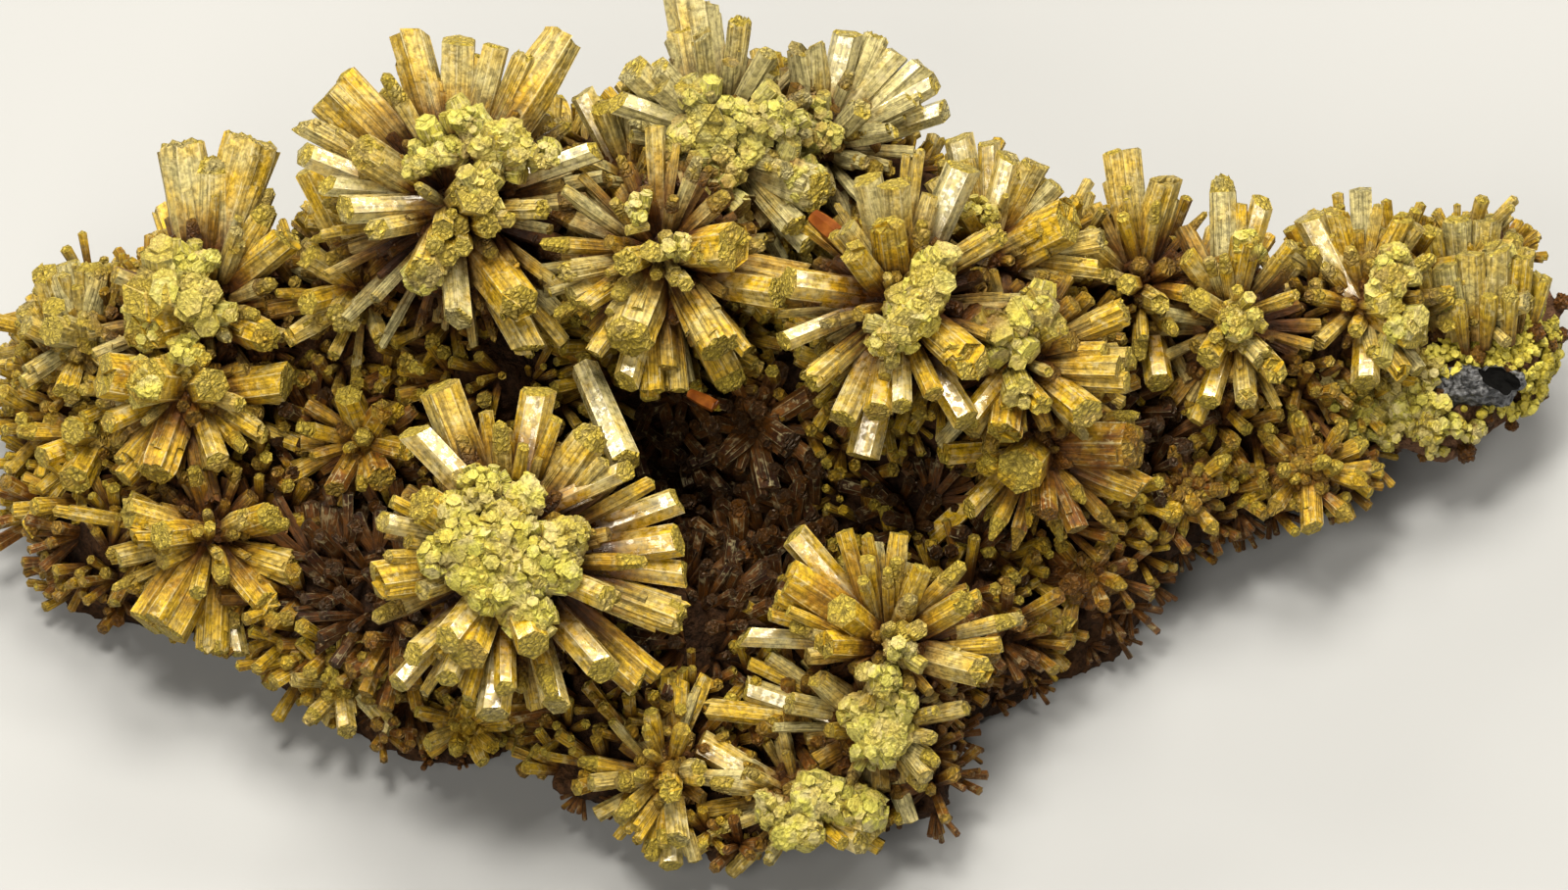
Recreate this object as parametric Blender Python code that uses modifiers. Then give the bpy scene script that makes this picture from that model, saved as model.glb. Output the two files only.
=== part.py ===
"""A loose cabinet specimen of pyromorphite on its own rock.

A three-cornered piece of brown rock, flat underneath, is covered with sprays of stout six-sided
crystals. Every spray is one solid, a round heart with its crystals grown out of it, and sits in a
shallow socket of the rock. Small single crystals of the rock's own are fused to it.

Places on the specimen are given as (right, up, out) in millimetres on its show face, the plane
that leans back from upright and faces whoever looks at the crystals. "out" is square to it.
"""

import math
import random
from collections import namedtuple
from itertools import combinations

import bmesh
import bpy
from mathutils import Matrix, Vector
from mathutils.bvhtree import BVHTree
from mathutils.geometry import intersect_point_line

MM = 0.001

# The show face: how far it faces up, and where its middle is above the underside.
SHOW_FACE_RISE = math.radians(50)
SHOW_FACE_HEIGHT = 20.0
SHOW_FACE_SHIFT = (-0.9, -5.2)

# Crystals.
SIDES = 6
LEAST_WIDTH = 1.8
LEAST_COUNT = 5
ROOT_TAPER = 0.5
DOME = 0.72
TIP_JITTER = 0.04
GAP = 0.35
SHORTENINGS = (1.0, 0.88, 0.76, 0.64, 0.52)
SAMPLE_STEP = 0.6
HEART_DETAIL = 1

# The rock.
LUMP_DEPTH = 2.6
LUMP_RADIUS = 4.3
COLUMN_STEP = 4.5
COLUMN_RADIUS = 5.2
COLUMN_FOOT = 0.0
ARM_START = 24.0
BRIDGE_REACH = 15.0
BRIDGE_DEPTH = 5.5
BRIDGE_RADIUS = 4.0
VOXEL = 1.4
RELIEF = 1.5
RELIEF_SIZE = 6.0
ROCK_RATIO = 0.022
SLAB = 160.0

# Small crystals fused to the rock.
DRUSE_COUNT = 16
DRUSE_WIDTH = (1.0, 1.5)
DRUSE_LENGTH = (2.2, 3.8)
DRUSE_SPACING = 3.6
DRUSE_LOWEST = 3.0
DRUSE_TILT = 0.55

# Each spray: its heart's place and radius, how far its crystals reach, and each crystal's tip
# as (right, up, width), with right and up measured from the heart.
Spray = namedtuple("Spray", "name heart radius reach tips")

SPRAYS = (
    Spray("top_left_spray", (-23.0, 16.4, 0.0), 2.7, 12.0, (
        (-8.6, 8.7, 3.8), (-6.4, 4.1, 2.4), (-4.8, 9.3, 1.2), (-3.2, 11.9, 2.5), (0.2, 11.9, 2.3),
        (2.6, 11.6, 2.5), (4.8, 10.8, 1.4), (7.4, 12.0, 3.3), (9.8, 4.1, 1.5), (1.7, 1.0, 2.7),
        (-0.3, -2.4, 3.1), (2.5, -1.2, 1.6), (3.9, -0.7, 1.2), (6.2, 0.0, 1.4), (-7.6, 0.0, 1.9),
        (-8.9, 1.7, 1.4), (-5.3, -1.4, 1.5), (-9.3, -1.7, 0.8), (-2.4, 1.6, 1.0), (-2.1, -4.5, 2.4),
        (4.5, -6.5, 2.7), (0.3, -7.6, 1.9), (5.2, -9.6, 2.4), (7.6, -5.5, 1.1), (7.6, -9.3, 1.2),
        (-10.3, 5.8, 1.5), (-10.5, 3.9, 1.7),
    )),
    Spray("top_spray", (-4.5, 20.9, -4.0), 2.6, 10.5, (
        (-2.1, 10.3, 3.4), (1.4, 8.8, 1.5), (-5.5, 5.5, 3.3), (-7.2, 3.1, 1.7), (-6.2, 1.7, 0.8),
        (-2.1, 4.1, 2.1), (-0.7, 3.8, 1.2), (3.8, 6.5, 1.9), (-1.0, 1.7, 3.0), (-0.1, -1.0, 1.9),
        (-0.9, -3.1, 2.1), (-3.8, -2.4, 2.7), (4.3, -1.4, 1.9), (6.9, -3.1, 2.9), (5.3, -5.6, 1.9),
        (6.2, -6.9, 1.6), (-1.2, 7.6, 1.4),
    )),
    Spray("between_spray", (-10.6, 18.5, -3.5), 2.0, 7.2, (
        (-3.6, 6.2, 1.6), (-2.1, 5.2, 1.7), (-0.2, 6.6, 1.4), (-4.9, -0.7, 1.2), (-3.9, 1.6, 1.4),
        (0.4, -2.1, 1.4), (1.6, 2.0, 1.5),
    )),
    Spray("top_fan_spray", (2.4, 20.9, -7.0), 2.3, 8.6, (
        (-1.4, 7.0, 1.5), (-0.3, 7.2, 1.5), (2.1, 8.1, 1.9), (4.1, 7.9, 1.7), (5.6, 6.7, 1.6),
        (7.4, 5.8, 1.8), (8.2, 4.7, 1.5), (7.2, 3.4, 1.5), (8.9, 2.7, 1.5), (-2.7, 2.7, 1.9),
        (3.0, 2.6, 1.6), (5.2, 1.2, 1.4),
    )),
    Spray("upper_middle_spray", (-8.6, 13.2, 3.0), 2.5, 10.0, (
        (5.0, 0.6, 3.1), (1.5, -1.9, 1.5), (-0.7, 0.3, 1.4), (-2.4, -0.5, 1.8), (-2.4, -6.0, 3.3),
        (0.2, -9.8, 3.2), (4.1, -6.4, 2.7), (5.0, -9.0, 2.4), (6.0, -6.7, 1.1), (8.2, -2.6, 2.1),
        (11.0, -2.6, 2.7), (-6.7, 4.6, 1.2), (-8.2, 0.8, 1.2), (-6.7, -1.2, 1.4),
        (-7.2, -4.1, 1.0), (-5.3, -3.5, 1.4), (-4.6, -6.7, 1.5), (-2.4, -8.8, 1.7),
    )),
    Spray("right_middle_spray", (8.1, 9.9, 4.0), 2.6, 10.0, (
        (0.5, -1.7, 2.6), (1.9, 0.0, 2.1), (2.3, 1.6, 2.6), (-1.1, -2.9, 1.8), (-3.3, 3.4, 1.9),
        (-3.8, 5.2, 1.5), (-0.9, 5.4, 2.1), (1.0, 10.7, 1.5), (-2.3, 8.6, 2.1), (-0.5, 8.2, 2.1),
        (4.4, 9.5, 2.2), (6.9, 4.8, 1.6), (4.9, -4.1, 2.5), (2.5, -6.5, 1.9), (0.1, -7.2, 1.4),
        (-1.6, -7.6, 1.8), (-4.0, -8.1, 1.9), (-2.6, -10.7, 2.1), (4.6, -8.2, 1.8),
        (-6.2, -5.5, 1.7), (-8.1, -2.7, 1.4), (-7.8, 1.4, 2.1),
    )),
    Spray("ridge_spray", (14.4, 13.0, -4.0), 2.3, 8.6, (
        (-2.1, 8.6, 1.9), (0.0, 8.2, 1.4), (1.4, 7.2, 1.7), (3.1, 6.5, 1.9), (5.5, 2.7, 3.1),
        (7.9, 1.4, 1.6), (7.6, -0.7, 1.4), (-1.7, 3.4, 1.7), (4.7, 5.2, 1.4),
    )),
    Spray("right_spray", (16.2, 6.1, 0.0), 2.5, 9.0, (
        (-1.4, 2.1, 2.4), (1.7, 3.8, 2.7), (7.6, 3.2, 1.9), (7.9, -0.7, 3.4), (5.0, -3.9, 2.2),
        (0.3, -2.7, 2.2), (1.9, -3.4, 1.4), (-0.9, -5.2, 2.2), (-3.4, -4.4, 1.5),
    )),
    Spray("right_lower_spray", (17.9, -0.1, -3.0), 2.3, 8.0, (
        (6.9, 0.0, 3.3), (7.2, -3.1, 2.5), (-1.4, -1.7, 3.1), (-3.4, -6.5, 1.2), (-1.7, -7.2, 1.2),
        (-6.7, -0.5, 1.5), (-3.9, -1.4, 1.6), (-7.6, -6.5, 1.4), (2.7, -5.8, 1.4), (5.5, -5.8, 1.2),
        (0.4, -5.0, 1.8), (-4.9, -4.4, 1.3),
    )),
    Spray("arm_root_spray", (25.1, 11.3, -10.0), 2.2, 8.6, (
        (-1.2, 9.6, 2.5), (1.9, 7.4, 2.1), (-0.9, 6.9, 1.2), (-1.2, 4.8, 1.0), (1.2, 5.8, 1.0),
        (1.4, -1.4, 1.6), (-1.0, 0.0, 1.4), (-4.1, 2.7, 1.6), (0.2, -3.8, 0.9), (0.0, -5.2, 1.2),
        (2.5, -3.4, 1.1), (-2.7, -3.4, 1.4), (1.4, -6.9, 1.8),
    )),
    Spray("arm_spray", (31.8, 8.5, -10.0), 2.3, 8.6, (
        (-0.7, 10.2, 1.9), (0.5, 8.6, 1.2), (2.1, 8.7, 1.5), (-3.4, 4.8, 1.4), (-0.8, 4.8, 1.0),
        (0.9, 6.2, 1.9), (0.2, 0.3, 2.5), (-2.5, 1.7, 1.6), (-1.5, -0.9, 1.0), (-1.9, -2.4, 1.7),
        (1.9, -2.4, 1.5), (-6.2, -7.6, 1.4), (-1.9, -5.5, 1.5), (-2.7, -6.9, 1.1),
        (0.8, -5.2, 1.5), (2.8, -3.3, 1.6), (4.0, 5.5, 1.4), (4.3, 2.1, 1.2),
    )),
    Spray("arm_outer_spray", (41.2, 9.9, -14.0), 2.3, 7.6, (
        (-3.8, 6.3, 2.2), (-2.1, 6.5, 1.4), (-0.2, 8.2, 1.6), (1.0, 7.1, 0.9), (2.7, 6.0, 1.4),
        (3.8, 5.6, 1.2), (2.1, 2.1, 2.4), (1.7, 0.0, 1.9), (0.0, -5.5, 1.8), (2.7, -4.8, 1.5),
        (3.4, -2.1, 2.1), (-4.1, 0.7, 1.2), (-3.4, -2.7, 1.2), (4.8, 3.4, 1.2),
    )),
    Spray("arm_end_spray", (49.5, 12.3, -17.5), 2.0, 4.8, (
        (-0.3, 3.9, 2.6), (-2.1, 3.6, 1.6), (1.7, 1.9, 1.5), (3.8, 0.7, 1.4), (3.6, -2.4, 1.4),
        (-0.8, -4.1, 1.8), (0.7, -3.1, 1.6), (-3.8, 2.1, 1.2), (1.4, 1.0, 2.4),
    )),
    Spray("arm_under_spray", (37.1, -1.8, -12.0), 1.9, 5.4, (
        (-4.8, -2.4, 1.2), (-2.7, -3.1, 1.2), (0.3, -4.1, 1.5), (3.1, -3.4, 1.2), (4.1, -1.0, 1.2),
        (5.5, 0.3, 1.0), (-3.4, 2.7, 1.2), (-0.7, 4.1, 1.2), (2.7, 3.4, 1.2), (-6.5, 0.0, 1.2),
        (-2.1, 0.0, 1.2), (1.4, 0.7, 1.2),
    )),
    Spray("arm_hem_spray", (28.5, -3.2, -10.0), 1.8, 4.6, (
        (2.1, -3.1, 1.2), (-1.7, -3.8, 1.2), (-3.4, -1.4, 1.2), (2.4, 0.0, 1.2), (-1.0, 3.1, 1.2),
        (0.4, -1.4, 1.3), (3.0, 2.4, 1.2),
    )),
    Spray("right_hem_spray", (21.3, -9.3, -7.0), 1.8, 4.6, (
        (2.7, -0.7, 1.2), (1.4, -2.4, 1.2), (-1.4, -3.8, 1.2), (-4.1, -3.4, 1.2), (-4.5, -0.3, 1.2),
        (-2.1, 2.7, 1.2), (1.4, 2.1, 1.2), (-1.2, -0.6, 1.4),
    )),
    Spray("central_spray", (-19.2, -8.0, 7.0), 4.2, 12.0, (
        (-4.8, 12.0, 2.6), (-6.5, 8.9, 2.2), (-0.5, 9.4, 1.2), (1.2, 7.9, 0.9), (2.1, 11.7, 2.2),
        (3.4, 9.8, 1.1), (6.0, 8.9, 2.6), (6.7, 6.9, 1.0), (8.2, 6.2, 1.4), (10.0, 5.4, 1.2),
        (11.7, 4.1, 1.8), (11.8, 1.4, 2.1), (9.5, -0.1, 1.2), (12.2, -1.0, 1.9), (7.0, -2.6, 1.7),
        (11.9, -4.1, 2.5), (9.3, -8.2, 2.7), (6.7, -7.6, 2.1), (3.1, -9.3, 1.2), (3.4, -10.0, 1.7),
        (-0.1, -8.9, 1.4), (-4.1, -8.2, 1.5), (-2.7, -9.6, 1.0), (-1.0, -10.7, 2.1),
        (-2.6, -6.5, 2.5), (-4.1, -5.5, 1.9), (-6.5, -6.5, 1.5), (-7.6, -8.6, 1.4),
        (-8.9, -1.4, 2.6), (-8.2, 0.3, 1.0), (-8.6, 2.7, 1.4), (-7.9, 4.1, 1.2), (-5.8, 4.0, 2.5),
        (1.9, -5.8, 2.2),
    )),
    Spray("lower_right_spray", (7.2, -14.2, 4.0), 2.4, 9.0, (
        (-6.5, 7.9, 1.9), (-6.7, 4.8, 2.6), (-3.0, 8.2, 1.2), (-1.4, 7.9, 1.2), (-1.4, 6.3, 1.1),
        (-1.7, 4.8, 1.0), (0.0, 5.5, 0.9), (0.7, 6.2, 1.2), (2.4, 5.5, 1.5), (5.2, 5.8, 1.2),
        (-3.2, 2.7, 2.2), (0.2, 1.6, 1.2), (1.7, 1.4, 1.9), (5.5, 3.4, 1.8), (6.4, 3.8, 1.0),
        (6.5, -1.5, 1.9), (9.3, 2.1, 1.2), (7.9, 0.3, 1.2), (-10.0, 0.8, 1.4), (-6.9, 2.7, 0.9),
        (-7.7, 3.6, 1.2), (-8.2, 2.4, 1.1), (-4.3, 0.3, 1.9),
    )),
    Spray("lower_spray", (6.5, -19.7, 3.0), 2.4, 8.0, (
        (-7.6, 4.9, 1.4), (-8.9, 4.5, 1.0), (-9.1, 2.7, 1.5), (-6.2, 1.7, 1.4), (-4.1, 3.4, 1.8),
        (-7.2, 0.0, 0.8), (-11.3, 1.2, 1.4), (4.1, 1.2, 1.2), (4.1, -2.4, 1.2), (3.4, -3.4, 1.2),
        (-1.0, 1.4, 2.4), (0.7, -0.7, 2.7), (3.8, -0.7, 1.2), (6.2, 1.4, 1.2),
    )),
    Spray("foot_spray", (1.0, -24.6, 2.5), 2.2, 6.8, (
        (-6.9, 3.7, 1.9), (-6.0, 1.0, 1.2), (-7.1, -1.1, 1.2), (-5.8, -2.3, 0.9), (-7.2, -3.6, 1.2),
        (1.7, 0.1, 2.4), (0.7, -2.6, 1.9), (5.2, -1.6, 2.7), (4.5, -3.0, 1.9), (5.8, -3.6, 1.2),
        (3.1, -3.2, 1.2), (-2.1, -4.5, 1.2), (-4.8, -5.4, 1.2),
    )),
    Spray("foot_left_spray", (-8.1, -23.1, 2.0), 2.0, 6.6, (
        (0.5, 7.2, 1.8), (2.7, 6.9, 1.2), (2.1, 6.2, 0.9), (-1.2, 4.5, 1.2), (-1.5, 3.4, 1.0),
        (1.0, 3.3, 1.2), (-1.5, 1.7, 0.8), (-3.9, 3.8, 0.8), (-2.2, 0.0, 1.2), (0.2, -1.0, 1.5),
        (2.3, -0.3, 0.8), (-3.2, -2.7, 1.2), (-2.5, -4.3, 1.5), (0.7, -4.5, 1.6), (-0.3, -4.9, 1.1),
        (-1.2, -5.8, 1.2), (0.2, -6.3, 1.5), (1.9, -6.0, 1.2), (-6.2, 1.0, 1.2), (-5.4, -0.5, 1.2),
    )),
    Spray("left_upper_spray", (-40.9, 9.6, -8.0), 2.6, 10.5, (
        (-1.7, 11.6, 3.1), (0.6, 10.4, 2.3), (3.2, 11.9, 3.8), (4.5, 6.9, 1.9), (2.6, 5.2, 1.4),
        (5.8, 4.8, 2.1), (-3.8, 1.0, 3.4), (-0.5, 0.8, 3.3), (-4.0, -1.7, 3.1), (4.8, -2.1, 2.4),
        (2.1, -0.5, 1.0),
    )),
    Spray("left_middle_spray", (-42.1, 4.0, -6.5), 2.3, 8.4, (
        (-2.7, 0.5, 3.1), (1.1, 2.3, 1.5), (1.9, 0.2, 2.4), (7.1, 0.5, 2.5), (9.0, 0.9, 1.2),
        (-5.6, 0.9, 3.1), (-5.4, -2.4, 1.4), (-2.2, -6.0, 2.6), (-4.7, -6.0, 2.1), (2.3, -5.2, 1.6),
        (1.6, -8.0, 1.9), (5.4, -3.2, 1.5), (4.1, -4.3, 1.1), (7.8, -3.9, 1.2),
    )),
    Spray("left_lower_spray", (-40.3, -6.5, -6.5), 2.3, 8.2, (
        (-3.6, -0.3, 2.7), (-5.7, 1.7, 2.1), (-5.4, 0.0, 1.4), (-11.2, 1.9, 1.2), (4.3, 1.6, 1.8),
        (5.3, 1.0, 1.1), (5.8, -2.2, 2.2), (3.9, -4.6, 1.9), (0.8, -2.9, 1.2), (0.6, -1.2, 0.8),
        (0.0, 0.8, 1.0), (0.0, -8.0, 2.1), (1.7, -8.2, 1.5), (-0.9, -3.9, 1.2), (-4.0, -6.3, 3.8),
        (-6.9, -3.6, 0.9),
    )),
    Spray("far_left_spray", (-49.8, 7.1, -12.0), 2.1, 6.0, (
        (-1.7, 5.6, 2.6), (1.4, 5.2, 1.4), (-3.8, 1.4, 1.4), (-4.1, -2.4, 1.5), (-1.0, -3.4, 1.8),
        (-2.0, 1.0, 2.0), (0.6, 1.8, 1.6),
    )),
    Spray("far_left_lower_spray", (-48.9, 0.4, -12.0), 2.0, 5.6, (
        (-3.6, -1.3, 1.5), (-1.3, -2.9, 2.2), (-3.9, -3.6, 1.2), (-5.4, 0.6, 1.2), (-1.4, 0.6, 1.8),
        (-4.6, -6.2, 1.4), (-1.2, -6.0, 1.3),
    )),
    Spray("notch_upper_spray", (-29.6, 10.7, -6.0), 2.0, 7.4, (
        (-3.7, 2.5, 1.8), (-0.8, 2.1, 1.2), (3.0, 2.6, 1.7), (1.2, 0.0, 1.7), (-3.9, -0.7, 1.7),
        (-1.3, -1.9, 2.2), (-5.1, -3.1, 1.6), (-6.1, 0.0, 0.9), (-7.0, -1.2, 1.4), (-4.0, 8.7, 1.9),
    )),
    Spray("notch_spray", (-29.4, 0.3, -6.0), 2.0, 6.4, (
        (-1.2, 3.1, 1.9), (1.1, -2.7, 1.9), (1.1, 2.1, 1.5), (-2.2, -3.4, 1.4), (-6.0, -2.9, 1.2),
        (-4.8, 1.0, 1.2), (2.8, -0.6, 1.4),
    )),
    Spray("left_hem_spray", (-30.9, -16.9, -5.0), 1.8, 5.4, (
        (-3.1, 3.1, 1.2), (0.7, 4.1, 2.1), (-2.7, -2.6, 1.2), (3.4, -3.0, 1.4), (0.2, -3.2, 1.3),
        (3.6, 0.8, 1.2), (-1.0, 0.6, 1.4), (-3.6, 0.4, 1.2),
    )),
    Spray("front_hem_spray", (-22.4, -19.6, -2.5), 1.6, 4.6, (
        (-2.6, -1.4, 1.2), (-0.6, -1.9, 1.2), (2.0, -1.6, 1.2), (3.4, 0.2, 1.2), (-3.4, 0.9, 1.2),
        (0.4, 1.6, 1.3),
    )),
    Spray("recess_upper_spray", (-2.1, 1.6, -6.0), 1.9, 6.0, (
        (1.0, -4.8, 1.6), (5.2, -3.8, 1.4), (0.4, 1.0, 1.2), (-2.4, -2.7, 1.4), (4.1, 2.1, 1.4),
        (-3.4, 0.0, 1.2), (-4.6, -3.0, 1.3), (2.6, -1.4, 1.4),
    )),
    Spray("recess_lower_spray", (-3.4, -8.6, -6.0), 1.8, 5.4, (
        (-3.0, 3.2, 1.2), (2.8, 2.6, 1.2), (-3.9, -1.2, 1.2), (-0.4, -3.6, 1.3), (3.4, -1.4, 1.2),
        (0.3, 0.9, 1.4), (0.2, 4.6, 1.3),
    )),
)

# Sprays on the back, seated where a level line from behind meets the rock: how far to the right
# and how high, the heart's radius, reach, how many crystals and their width.
BackSpray = namedtuple("BackSpray", "name right height radius reach count width")

BACK_SPRAYS = (
    BackSpray("back_left_spray", -43.0, 11.5, 2.2, 7.0, 7, 1.8),
    BackSpray("back_shoulder_spray", -29.0, 17.5, 2.3, 8.0, 7, 2.0),
    BackSpray("back_top_left_spray", -15.0, 20.5, 2.4, 7.6, 8, 2.1),
    BackSpray("back_top_spray", -1.5, 18.0, 2.3, 7.6, 7, 1.9),
    BackSpray("back_right_spray", 13.0, 15.5, 2.2, 7.2, 7, 1.8),
)
BACK_POLE = Vector((0.0, 0.8, 0.6))
BACK_SEAT = 0.45
BACK_SPREAD = math.radians(72)
GOLDEN_ANGLE = math.radians(137.5)
FAR_BEHIND = 100.0

# Lumps of bare rock that no spray stands on, as (right, up, out, radius).
ROCK_LUMPS = (
    (49.5, 7.0, -21.5, 4.6), (44.5, 4.0, -19.0, 4.6), (53.0, 9.2, -22.5, 3.0), (-49.8, 2.5, -19.0, 4.4),
    (-46.5, -3.0, -17.5, 4.4), (-36.0, -3.0, -14.5, 5.2), (-31.0, 6.0, -15.0, 6.0),
    (-20.0, 5.0, -9.0, 6.5), (-9.0, 3.5, -10.0, 6.0), (3.0, 2.0, -12.0, 6.2), (10.0, -6.0, -10.0, 6.0),
    (0.0, -15.0, -5.0, 5.2), (-12.0, -17.0, -5.5, 5.0), (29.0, 2.0, -17.0, 4.8), (35.5, 5.0, -18.0, 4.4),
    (-10.0, -9.0, -9.0, 5.6), (14.0, -12.5, -6.5, 4.0), (-47.0, -7.0, -13.5, 4.6),
    (-28.0, -11.0, -5.5, 5.0), (-6.0, -13.5, -4.0, 5.0), (-6.0, -18.0, -2.5, 4.2),
    (-33.0, -10.0, -9.5, 5.0), (-10.0, 2.0, -22.0, 7.0), (-30.0, 2.0, -20.0, 6.5),
    (-49.3, -7.0, -15.0, 4.0), (-13.0, -22.0, -2.0, 4.0), (-4.0, -26.5, 0.5, 3.2),
    (-21.0, -5.9, -13.3, 7.0), (3.0, -7.5, -12.0, 7.0), (1.4, 5.6, -22.5, 7.0),
    (-10.0, -1.3, -17.0, 7.0), (12.0, -2.9, -15.8, 7.0), (47.0, 3.0, -19.0, 4.2), (51.3, 6.0, -20.5, 3.7), (8.5, -23.5, -1.0, 3.8),
)

Crystal = namedtuple("Crystal", "spray root tip width")


def show_face(right, up, out):
    """The world point, in metres, of a place on the show face."""
    rise = math.sin(SHOW_FACE_RISE)
    lean = math.cos(SHOW_FACE_RISE)
    along_x = right + SHOW_FACE_SHIFT[0]
    along_y = up * rise - out * lean + SHOW_FACE_SHIFT[1]
    along_z = up * lean + out * rise + SHOW_FACE_HEIGHT
    return Vector((along_x, along_y, along_z)) * MM


def show_direction(right, up, out):
    """The world direction of a direction on the show face, with its length kept."""
    return show_face(right, up, out) - show_face(0, 0, 0)


def stoutest(tips):
    """The crystals of a spray that are wide enough to be solid, and never fewer than a few."""
    ranked = sorted(tips, key=lambda tip: -tip[2])
    wide = sum(tip[2] >= LEAST_WIDTH for tip in tips)
    return ranked[: max(wide, LEAST_COUNT)]


def crystals_of(spray):
    """The crystals of a spray on the show face. Their tips lie on a dome over its heart."""
    heart = show_face(*spray.heart)
    dice = random.Random(spray.name)
    crystals = []
    for right, up, width in stoutest(spray.tips):
        spread = math.hypot(right, up)
        out = DOME * math.sqrt(max(spray.reach**2 - spread**2, 0))
        out *= 1 + TIP_JITTER * dice.uniform(-1, 1)
        tip = heart + show_direction(right, up, out)
        crystals.append(Crystal(spray.name, heart, tip, width * MM))
    return crystals


def back_crystals_of(spray, heart):
    """The crystals of a spray on the back, spread round its pole on a golden-angle spiral."""
    turn = Vector((0, 0, 1)).rotation_difference(BACK_POLE)
    dice = random.Random(spray.name)
    crystals = []
    for number in range(spray.count):
        tilt = BACK_SPREAD * math.sqrt((number + 0.5) / spray.count)
        around = number * GOLDEN_ANGLE
        flat = math.sin(tilt)
        ray = Vector((flat * math.cos(around), flat * math.sin(around), math.cos(tilt)))
        length = spray.reach * MM * dice.uniform(0.85, 1.1)
        width = spray.width * MM * dice.uniform(0.8, 1.25)
        crystals.append(Crystal(spray.name, heart, heart + length * (turn @ ray), width))
    return crystals


def back_heart(spray, rock):
    """Where the heart of a spray on the back sits."""
    behind = Vector((spray.right, FAR_BEHIND, spray.height)) * MM
    seat, _, _, _ = rock.ray_cast(behind, Vector((0, -1, 0)))
    return seat + BACK_SEAT * spray.radius * MM * BACK_POLE


def reach_round(crystal, place):
    """How far a crystal reaches from its axis, at a place from 0 at its root to 1 at its tip."""
    return crystal.width / 2 * (ROOT_TAPER + (1 - ROOT_TAPER) * min(max(place, 0), 1))


def samples(crystal):
    """Points along a crystal's axis, each with how far the crystal reaches round it."""
    count = max(2, round((crystal.tip - crystal.root).length / (SAMPLE_STEP * MM)))
    places = [step / count for step in range(count + 1)]
    return [(crystal.root.lerp(crystal.tip, at), reach_round(crystal, at)) for at in places]


def room_beside(point, crystal):
    """How far a point is from a crystal's side."""
    nearest, place = intersect_point_line(point, crystal.root, crystal.tip)
    if place <= 0:
        nearest = crystal.root
    elif place >= 1:
        nearest = crystal.tip
    return (point - nearest).length - reach_round(crystal, place)


def clear_of_crystals(crystal, others):
    """Whether a crystal keeps its gap to the crystals of the other sprays."""
    for other in others:
        if other.spray == crystal.spray:
            continue
        apart = (crystal.root + crystal.tip - other.root - other.tip).length / 2
        lengths = (crystal.tip - crystal.root).length + (other.tip - other.root).length
        if apart > lengths / 2 + crystal.width + other.width:
            continue
        for point, reach in samples(crystal):
            if room_beside(point, other) < reach + GAP * MM:
                return False
    return True


def clear_of_hearts(crystal, hearts):
    """Whether a crystal keeps its gap to the hearts of the other sprays."""
    for name, (heart, radius) in hearts.items():
        if name != crystal.spray and room_beside(heart, crystal) < radius + GAP * MM:
            return False
    return True


def clear_of_rock(crystal, rock, hearts):
    """Whether a crystal keeps its gap to the rock, outside the socket of its own heart."""
    heart, radius = hearts[crystal.spray]
    for point, reach in samples(crystal):
        if (point - heart).length < radius + GAP * MM:
            continue
        nearest, normal, _, distance = rock.find_nearest(point)
        if distance < reach + GAP * MM or (point - nearest).dot(normal) < 0:
            return False
    return True


def above_table(crystal):
    """Whether a crystal's end stays above the plane that the specimen rests on."""
    return crystal.tip.z - crystal.width / 2 > GAP * MM


def settled_crystals(wanted, hearts, rock):
    """The crystals that fit, the stoutest first. One with too little room grows less far."""
    kept = []
    for crystal in sorted(wanted, key=lambda item: -item.width):
        for share in SHORTENINGS:
            tip = crystal.root.lerp(crystal.tip, share)
            trial = crystal._replace(tip=tip)
            if (
                above_table(trial)
                and clear_of_hearts(trial, hearts)
                and clear_of_rock(trial, rock, hearts)
                and clear_of_crystals(trial, kept)
            ):
                kept.append(trial)
                break
    return kept


def clear_scene():
    for obj in list(bpy.data.objects):
        bpy.data.objects.remove(obj, do_unlink=True)


def new_collection(name, hidden=False):
    collection = bpy.data.collections.new(name)
    bpy.context.scene.collection.children.link(collection)
    collection.hide_render = hidden
    return collection


def mesh_object(name, shape, collection, helper=False):
    """An object from a bmesh, which is freed. A helper is left out of the specimen."""
    mesh = bpy.data.meshes.new(name)
    shape.to_mesh(mesh)
    shape.free()
    obj = bpy.data.objects.new(name, mesh)
    collection.objects.link(obj)
    if helper:
        obj.hide_render = True
        obj.display_type = "WIRE"
    return obj


def material(name, colour, roughness):
    made = bpy.data.materials.new(name)
    made.use_nodes = True
    shader = made.node_tree.nodes["Principled BSDF"]
    shader.inputs["Base Color"].default_value = (*colour, 1)
    shader.inputs["Roughness"].default_value = roughness
    shader.inputs["Metallic"].default_value = 0
    return made


def ball(name, centre, radius, collection, detail=HEART_DETAIL, helper=False):
    shape = bmesh.new()
    place = Matrix.Translation(centre)
    bmesh.ops.create_icosphere(shape, subdivisions=detail, radius=radius, matrix=place)
    return mesh_object(name, shape, collection, helper)


def prism(name, root, tip, width, twist, collection):
    """A six-sided crystal, narrower at its root, with a flat end."""
    shape = bmesh.new()
    axis = tip - root
    turn = axis.to_track_quat("Z", "Y").to_matrix().to_4x4()
    place = Matrix.Translation((root + tip) / 2) @ turn @ Matrix.Rotation(twist, 4, "Z")
    bmesh.ops.create_cone(
        shape,
        cap_ends=True,
        segments=SIDES,
        radius1=ROOT_TAPER * width / 2,
        radius2=width / 2,
        depth=axis.length,
        matrix=place,
    )
    return mesh_object(name, shape, collection, helper=True)


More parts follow.
